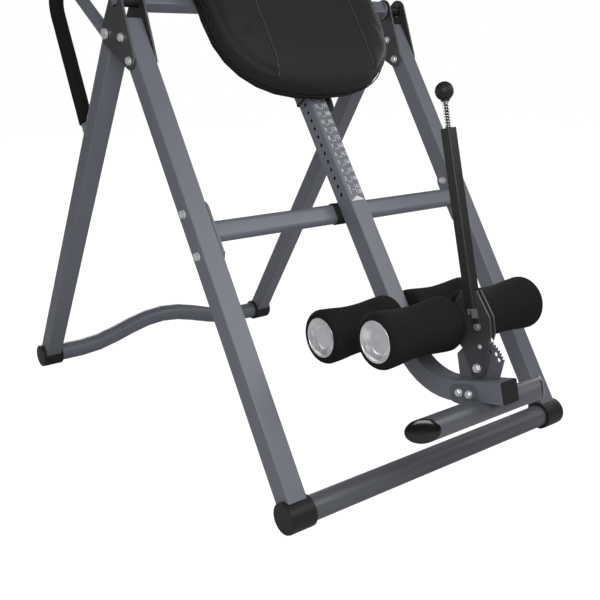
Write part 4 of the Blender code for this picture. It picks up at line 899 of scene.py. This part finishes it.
BOLT_OFFSET = 0.041
for side, sign in SIDES:
    bolts, nuts = bmesh.new(), bmesh.new()
    for rise in (-BOLT_OFFSET, BOLT_OFFSET):
        spot = (0, CROSSBAR_UP + rise)
        hex_form(bolts, facing((sign * LEG_OUTER, *spot), (sign, 0, 0)), *FRAME_HEAD)
        hex_form(nuts, facing((sign * CROSSBAR_FACE, *spot), (-sign, 0, 0)), *FRAME_NUT, stub=0.004)
    make(f"crossbar_bolts_{side}", bolts, FRONT_LEGS, ZINC, "front_frame", 25)
    make(f"crossbar_nuts_{side}", nuts, FRONT_LEGS, ZINC, "front_frame", 25)
    plate_bolts = bmesh.new()
    for rise in (-0.004, 0.046):
        spot = (0, PLATE_FOOT + rise)
        hex_form(plate_bolts, facing((sign * PLATE_OUTER, *spot), (sign, 0, 0)), *FRAME_HEAD)
        hex_form(plate_bolts, facing((sign * PLATE_INNER, *spot), (-sign, 0, 0)), *FRAME_NUT, stub=0.003)
    make(f"hinge_plate_bolts_{side}", plate_bolts, FRONT_LEGS, ZINC, "front_frame", 25)

SADDLE_FACE = 0.0233
SADDLE_BOLTS = ((0.0739, -0.0039), (0.0972, -0.0017))
RAIL_BACK = -0.0238
for side, sign in SIDES:
    saddle_bolts = bmesh.new()
    for y, z in SADDLE_BOLTS:
        hex_form(saddle_bolts, facing((sign * SADDLE_FACE, y, z), (sign, 0, 0)), *SADDLE_HEAD)
    make(f"saddle_bolts_{side}", saddle_bolts, BOOM_FOOT, ZINC, "boom", 25)
for level, z in (("lower", -0.140), ("upper", 0.130)):
    rail_bolts = bmesh.new()
    for x in (-0.125, -0.060, 0.060, 0.125):
        hex_form(rail_bolts, facing((x, RAIL_BACK, z), (0, 1, 0)), *RAIL_HEAD, washer=1.4)
    make(f"rail_bolts_{level}", rail_bolts, BED, ZINC, "bed", 25)


# Bolts of the ankle clamp, with the heads of its stop pin


def cross_bolt(name, node, spot, across, tall, shank, material):
    """Hexagon bolt through both arm plates, in place of a plain solid."""
    bm = bmesh.new()
    lathe([(-ARM_FACE, 0), (-ARM_FACE, shank), (ARM_FACE, shank), (ARM_FACE, 0)], 24, bm=bm)
    for _, sign in SIDES:
        hex_form(bm, facing((sign * ARM_FACE, 0, 0), (sign, 0, 0)), across, tall, washer=1.2)
    bolt = make(name, bm, ANKLE @ Matrix.Translation((0, *spot)), material, "ankle_clamp", 25)
    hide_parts(node)


cross_bolt("ankle_hex_bolt", "ankle_pivot_bolt", (0, 0), 0.0135, 0.0046, 0.005, ZINC)
cross_bolt("pawl_hex_bolt", "pawl_bolt", PAWL_BOLT_AT, 0.0115, 0.0046, 0.004, CLIP_STEEL)
pin_heads = bmesh.new()
for _, sign in SIDES:
    head = [(-0.0002, 0), (-0.0002, 0.0042), (0.0008, 0.0042), (0.0016, 0.0030), (0.0018, 0)]
    lathe(head, 28, bm=pin_heads, place=facing((sign * (ARM_FACE - 0.0003), 0, 0), (sign, 0, 0)))
make("stop_pin_heads", pin_heads, ANKLE @ Matrix.Translation((0, *STOP_AT)), ZINC, "ankle_clamp", 30)


# Plugs in the upper ends of the legs


LEG_PLUG_GAP, LEG_PLUG_LEAST = 0.0004, 0.0008
LEG_PLUG_STEPS = ((0.0, 0.0002), (0.0, 0.0014), (0.0004, 0.0020), (0.0012, 0.0025), (0.010, 0.0028))


def plug_form(place):
    """Low cushion-shaped plug from (inset, height) steps."""
    bm = bmesh.new()
    rings = []
    for inset, z in LEG_PLUG_STEPS:
        corner = max(TUBE_CORNER - inset, LEG_PLUG_LEAST)
        half = TUBE / 2 - LEG_PLUG_GAP - max(inset, TUBE_CORNER) + corner
        rings.append([bm.verts.new((x, y, z)) for x, y in rounded_line(half, half, corner, 5)])
    skin(bm, rings)
    bm.transform(place)
    return bm


for side, sign in SIDES:
    top = Matrix.Translation((sign * LEG_X, 0, FRONT_LEG_TOP))
    make(f"front_leg_plug_{side}", plug_form(top), FRONT_LEGS, MOULDED, "front_frame")
    top = Matrix.Translation((sign * LEG_X, 0, REAR_LEG_TOP))
    make(f"rear_leg_plug_{side}", plug_form(top), REAR_FRAME, MOULDED, "rear_frame")


# Weld beads where the legs meet their base tubes


def bead(points, radius, seed):
    """Rippled weld bead along a closed line."""
    radii = []
    for i in range(len(points)):
        ripple = 0.12 * sin(i * 2.4) + 0.25 * noise.noise(Vector((i * 0.7, seed, 0)))
        radii.append(radius * (1 + ripple))
    return sweep(points, radii, 8, closed=True)


def square_line(half, corner, bend=6, count=24):
    """Points round a square tube, evenly spread."""
    line = []
    arcs = [Vector(p) for p in rounded_line(half, half, corner, bend)]
    for i, point in enumerate(arcs):
        line.append(point)
        if i % (bend + 1) == bend:
            following = arcs[(i + 1) % len(arcs)]
            line += [point.lerp(following, k / count) for k in range(1, count)]
    return line


def cope_line(lean, side_x):
    """Where a leaning square leg meets the round base tube, in the base tube's frame."""
    along = Vector((0, -sin(lean), cos(lean)))
    across = Vector((0, cos(lean), sin(lean)))
    points = []
    for u, v in square_line(TUBE / 2, TUBE_CORNER):
        climb = (BASE_RADIUS ** 2 - min(v * v, BASE_RADIUS ** 2 * 0.999)) ** 0.5
        points.append(Vector((side_x + u, 0, 0)) + across * v + along * climb)
    return points


for side, sign in SIDES:
    for label, base, lean, body in (
        ("front", FRONT_BASE, -0.548906, "front_frame"), ("rear", REAR_BASE, 0.594634, "rear_frame"),
    ):
        line = cope_line(lean, sign * LEG_X)
        make(f"{label}_leg_bead_{side}", bead(line, 0.0016, sign), base, PAINT, body, 80)


# Clip over the rod's lower end and the strap from it to the pawl's bolt, outside the left arm plate


def slab(outline, near_x, far_x):
    """Flat piece from an outline in (y, z), between two planes across X."""
    bm = bmesh.new()
    return skin(bm, [[bm.verts.new((x, y, z)) for y, z in outline] for x in (near_x, far_x)])


PLATE_FACE = -0.0068
CLIP_OUT, STRAP_OUT, STRAP_RADIUS = -0.0112, -0.0092, 0.0042
clip_line = [
    (-0.0135, -0.0165), (-0.0135, 0.0), (0.0045, 0.0), (0.0045, -0.010),
    (0.0020, -0.010), (0.0020, -0.0035), (-0.0040, -0.0035), (-0.0040, -0.0165),
]
clip_place = LEVER @ lever_lean
make("rod_guide", slab(clip_line, CLIP_OUT, PLATE_FACE), clip_place, CLIP_STEEL, "ankle_clamp")
strap_top = (ANKLE.inverted() @ clip_place @ Vector((0, -0.004, -0.010))).yz
strap_low = Vector(PAWL_BOLT_AT)
heading = atan2(*reversed(strap_top - strap_low))
STRAP_STEPS = 12
half_turn = [heading - pi / 2 + pi * i / STRAP_STEPS for i in range(STRAP_STEPS + 1)]
strap_line = [polar(STRAP_RADIUS, angle, strap_top) for angle in half_turn]
strap_line += [polar(STRAP_RADIUS, angle + pi, strap_low) for angle in half_turn]
make("pawl_strap", slab(strap_line, STRAP_OUT, PLATE_FACE), ANKLE, LEVER_COAT, "ankle_clamp")


# Release spring, its ball knob and the selector's fluted knob
COIL_TURNS, COIL_STEPS, COIL_RADIUS, WIRE_RADIUS, COIL_INSET = 10, 24, 0.0052, 0.0008, 0.0013
COIL_END_RISE = 0.0018
coil_low = LEVER_LONG + COIL_INSET
coil_rise = SPRING_LONG - 2 * COIL_INSET
open_turns = COIL_TURNS - 2
coil = []
for i in range(COIL_TURNS * COIL_STEPS + 1):
    turn = i / COIL_STEPS
    if turn < 1:
        lift = COIL_END_RISE * turn
    elif turn > COIL_TURNS - 1:
        lift = coil_rise - COIL_END_RISE * (COIL_TURNS - turn)
    else:
        lift = COIL_END_RISE + (coil_rise - 2 * COIL_END_RISE) * (turn - 1) / open_turns
    coil.append((*polar(COIL_RADIUS, 2 * pi * turn), coil_low + lift))
spring = make("release_spring", sweep(coil, WIRE_RADIUS, 8), LEVER, CHROME, "ankle_clamp", 80)
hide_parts("lever_spring")
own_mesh(spring)

neck_low = LEVER_LONG + SPRING_LONG
neck_turn = asin(BALL_NECK / BALL_RADIUS)
ball_centre = neck_low + 0.003 + BALL_RADIUS * cos(neck_turn)
ball = [(0.006, 0.0), (0.006, 0.0026), (0.0064, 0.003), (LEVER_HOLD, 0.003), (neck_low, 0.003)]
ball += [(neck_low, BALL_NECK - 0.0005)]
ball += [(neck_low + 0.0005, BALL_NECK), (neck_low + 0.0026, BALL_NECK - 0.0002)]
ball_steps = 30
for i in range(1, ball_steps):
    angle = neck_turn + (pi - neck_turn) * i / ball_steps
    ball.append((ball_centre - BALL_RADIUS * cos(angle), BALL_RADIUS * sin(angle)))
ball.append((ball_centre + BALL_RADIUS, 0.0))
upright = Matrix.Rotation(-pi / 2, 4, "Y")
ball = lathe(ball, 56)
ball.transform(upright)
for vertex in ball.verts:
    if vertex.co.z < LEVER_HOLD:
        vertex.co.y += LEVER_TILT * (LEVER_HOLD - vertex.co.z)
knob = make("ball_knob", ball, LEVER, MOULDED, "release")
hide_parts("release_knob")

SLEEVE_FACE = 0.0238
knob_base = SLEEVE_FACE + 0.0123
knob_top = knob_base + 0.0175


def fluted(x, radius, angle):
    if radius < 0.012 or not knob_base + 0.003 < x < knob_top - 0.001:
        return radius
    return radius - 0.0007 * (1 + cos(14 * angle)) / 2


selector = [(0.0165, 0.0), (0.0165, 0.0025), (0.0173, 0.0033), (knob_base, 0.0033), (knob_base, 0.0098)]
selector += [(knob_base + 0.0007, 0.0105), (knob_base + 0.0025, 0.0112), (knob_base + 0.0040, 0.0139)]
selector += [(knob_base + 0.0040 + 0.0095 * i / 8, 0.0140) for i in range(1, 9)]
crown_round = [polar(0.0040, pi / 2 * i / 6) for i in range(1, 7)]
selector += [(knob_top - 0.0040 + s, 0.0100 + c) for c, s in crown_round]
selector += [(knob_top, 0.0075), (knob_top - 0.0006, 0.0070), (knob_top - 0.0006, 0.0)]
pull_place = BED @ Matrix.Translation((0, 0, -PIN_DROP)) @ Matrix.Diagonal((-1, 1, 1, 1))
pull = make("selector_knob", lathe(selector, 84, shape=fluted), pull_place, MOULDED, "selector")
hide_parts("selector_pin")


# Domed plugs in the foot rest's slanted ends
MITRE_SLOPE = 1.0
PLUG_FLANGE, PLUG_DOME, PLUG_INSERT, PLUG_BORE = 0.0016, 0.0075, 0.010, 0.0189
plug_seat = FOOTREST_HALF - FOOTREST_RADIUS * MITRE_SLOPE
plug_inner = plug_seat - PLUG_INSERT
for side, sign in SIDES:
    section = [(plug_inner, 0.0), (plug_inner, PLUG_BORE), (plug_seat + 0.0004, PLUG_BORE)]
    section += [(plug_seat + 0.0004, FOOTREST_RADIUS - 0.0003), (plug_seat + 0.0007, FOOTREST_RADIUS)]
    steps = 24
    for i in range(steps):
        rise = pi / 2 * i / steps
        section.append((plug_seat + PLUG_FLANGE + PLUG_DOME * sin(rise), FOOTREST_RADIUS * cos(rise) ** 0.75))
    section.append((plug_seat + PLUG_FLANGE + PLUG_DOME, 0.0))
    plug = lathe(section, 64)
    for vertex in plug.verts:
        vertex.co.x += MITRE_SLOPE * vertex.co.y
    place = BOOM_FOOT @ Matrix.Translation((0, *FOOTREST)) @ Matrix.Diagonal((sign, 1, 1, 1))
    end_plug = make(f"footrest_end_{side}", plug, place, GLOSS_RUBBER, "boom")
    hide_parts(f"footrest_cap_{side}")


# Height scale on the boom's front face: plain numbers, ticks and a pointer
BOOM_FACE = -TUBE / 2
INK_THICK = 0.00012
SCALE_TOP = -0.2333
SCALE_STEP = 0.01836
SCALE_ROWS = 12
LAST_ROW = -0.4465
POINTER_TIP, POINTER_FOOT = -0.4545, -0.4645
DIGIT_TALL, DIGIT_NARROW = 0.0092, 0.80
TOP_FIGURE, FIGURE_STEP = 198, 5


def figures(text, tall):
    """Flat mesh of a line of figures, centred on its own middle."""
    curve = bpy.data.curves.new("figures", "FONT")
    curve.body = text
    curve.size = tall * 1.36
    curve.align_x = "CENTER"
    curve.align_y = "CENTER"
    curve.extrude = INK_THICK
    curve.resolution_u = 3
    holder = linked("figures", curve)
    bpy.context.view_layer.update()
    mesh = evaluated_mesh(holder)
    bpy.data.objects.remove(holder)
    bpy.data.curves.remove(curve)
    return mesh


def ink_block(bm, corners):
    """Thin printed patch from (x, z) corners."""
    rings = [[bm.verts.new((x, z, lift)) for x, z in corners] for lift in (-INK_THICK, INK_THICK)]
    skin(bm, rings)


def scale_marks():
    bm = bmesh.new()
    levels = [SCALE_TOP - SCALE_STEP * i for i in range(SCALE_ROWS)] + [LAST_ROW]
    for i, level in enumerate(levels):
        for text, x in ((str(len(levels) - i), -0.0105), (str(TOP_FIGURE - FIGURE_STEP * i), 0.0098)):
            mesh = figures(text, DIGIT_TALL)
            mesh.transform(Matrix.Translation((x, level, 0)) @ Matrix.Diagonal((DIGIT_NARROW, 1, 1, 1)))
            bm.from_mesh(mesh)
            bpy.data.meshes.remove(mesh)
        if i < SCALE_ROWS:
            low = level - DIGIT_TALL * 0.72
            line_top, hook_top = low + 0.0009, low + 0.0026
            ink_block(bm, [(-0.0055, low), (0.0025, low), (0.0025, line_top), (-0.0055, line_top)])
            ink_block(bm, [(0.0019, line_top), (0.0028, line_top), (0.0031, hook_top), (0.0023, hook_top)])
    half = TUBE / 2 - 0.0028
    ink_block(bm, [(0.0, POINTER_TIP), (-half, POINTER_FOOT), (half, POINTER_FOOT)])
    return bm


on_face = Matrix.Translation((0, BOOM_FACE, 0)) @ Matrix.Rotation(pi / 2, 4, "X")
make("height_scale", scale_marks(), BED @ on_face, INK, "boom", 30)


# Floor, light and camera
floor_mesh = bpy.data.meshes.new("studio_floor")
reach = 9.0
floor_corners = [(-reach, -reach, 0), (reach, -reach, 0), (reach, reach, 0), (-reach, reach, 0)]
floor_mesh.from_pydata(floor_corners, [], [(0, 1, 2, 3)])
floor = linked("studio_floor", floor_mesh)
pale = bpy.data.materials.new("pale_floor")
pale.use_nodes = True
pale_tree = pale.node_tree
pale_shader = pale_tree.nodes["Principled BSDF"]
pale_shader.inputs["Base Color"].default_value = (0.68, 0.68, 0.68, 1.0)
pale_shader.inputs["Roughness"].default_value = 0.9
pale_shader.inputs["Specular IOR Level"].default_value = 0.1
glow = add(pale_tree, "ShaderNodeEmission", {"Color": (1.0, 1.0, 1.0, 1.0), "Strength": 1.12})
seen = add(pale_tree, "ShaderNodeLightPath").outputs["Is Camera Ray"]
share = maths(pale_tree, "MULTIPLY", seen, 0.93)
lit = add(pale_tree, "ShaderNodeMixShader", {0: share, 1: pale_shader.outputs[0], 2: glow.outputs[0]})
pale_tree.links.new(lit.outputs[0], pale_tree.nodes["Material Output"].inputs["Surface"])
floor_mesh.materials.append(pale)

world = bpy.data.worlds.new("studio")
world.use_nodes = True
bpy.context.scene.world = world
sky = world.node_tree
soft = add(sky, "ShaderNodeBackground", {"Color": (0.95, 0.97, 1.0, 1.0), "Strength": 0.09})
white = add(sky, "ShaderNodeBackground", {"Color": (1.0, 1.0, 1.0, 1.0), "Strength": 1.0})
camera_sees = add(sky, "ShaderNodeLightPath").outputs["Is Camera Ray"]
both = add(sky, "ShaderNodeMixShader", {0: camera_sees, 1: soft.outputs[0], 2: white.outputs[0]})
sky.links.new(both.outputs[0], sky.nodes["World Output"].inputs["Surface"])


def softbox(name, place, aim, size, watts):
    lamp = bpy.data.lights.new(name, "AREA")
    lamp.shape = "RECTANGLE"
    lamp.size, lamp.size_y = size
    lamp.energy = watts
    holder = linked(name, lamp)
    holder.location = place
    holder.rotation_euler = (Vector(aim) - Vector(place)).to_track_quat("-Z", "Y").to_euler()


softbox("camera_softbox", (-1.0, -1.45, 1.25), (0.0, 0.0, 0.35), (1.0, 1.0), 21)
softbox("front_softbox", (1.3, -1.9, 1.9), (0.0, 0.0, 0.45), (1.4, 1.2), 24)
softbox("back_softbox", (0.5, 3.0, 0.9), (0.0, 0.0, 0.45), (2.0, 1.4), 40)
softbox("left_softbox", (-2.8, 1.4, 1.0), (0.0, 0.3, 0.45), (1.4, 1.4), 12)
softbox("right_softbox", (3.0, 0.6, 1.1), (0.0, 0.0, 0.45), (1.6, 1.4), 30)

CAMERA_AT = Vector((-1.09024, -1.47502, 0.7469))
YAW, PITCH, ROLL = 0.65242, 0.26852, -0.01664
ahead = Vector((sin(YAW), cos(YAW), 0.0))
right = Vector((cos(YAW), -sin(YAW), 0.0))
view_line = ahead * cos(PITCH) - Vector((0, 0, sin(PITCH)))
view_up = ahead * sin(PITCH) + Vector((0, 0, cos(PITCH)))
rolled_right = right * cos(ROLL) + view_up * sin(ROLL)
rolled_up = view_up * cos(ROLL) - right * sin(ROLL)
lens = bpy.data.cameras.new("photo_camera")
lens.sensor_width = 36.0
lens.sensor_fit = "HORIZONTAL"
lens.lens = 50.17
camera = linked("photo_camera", lens)
camera_turn = Matrix((rolled_right, rolled_up, -view_line)).transposed().to_4x4()
camera.matrix_world = Matrix.Translation(CAMERA_AT) @ camera_turn
bpy.context.scene.camera = camera
bpy.context.scene.view_settings.view_transform = "Standard"
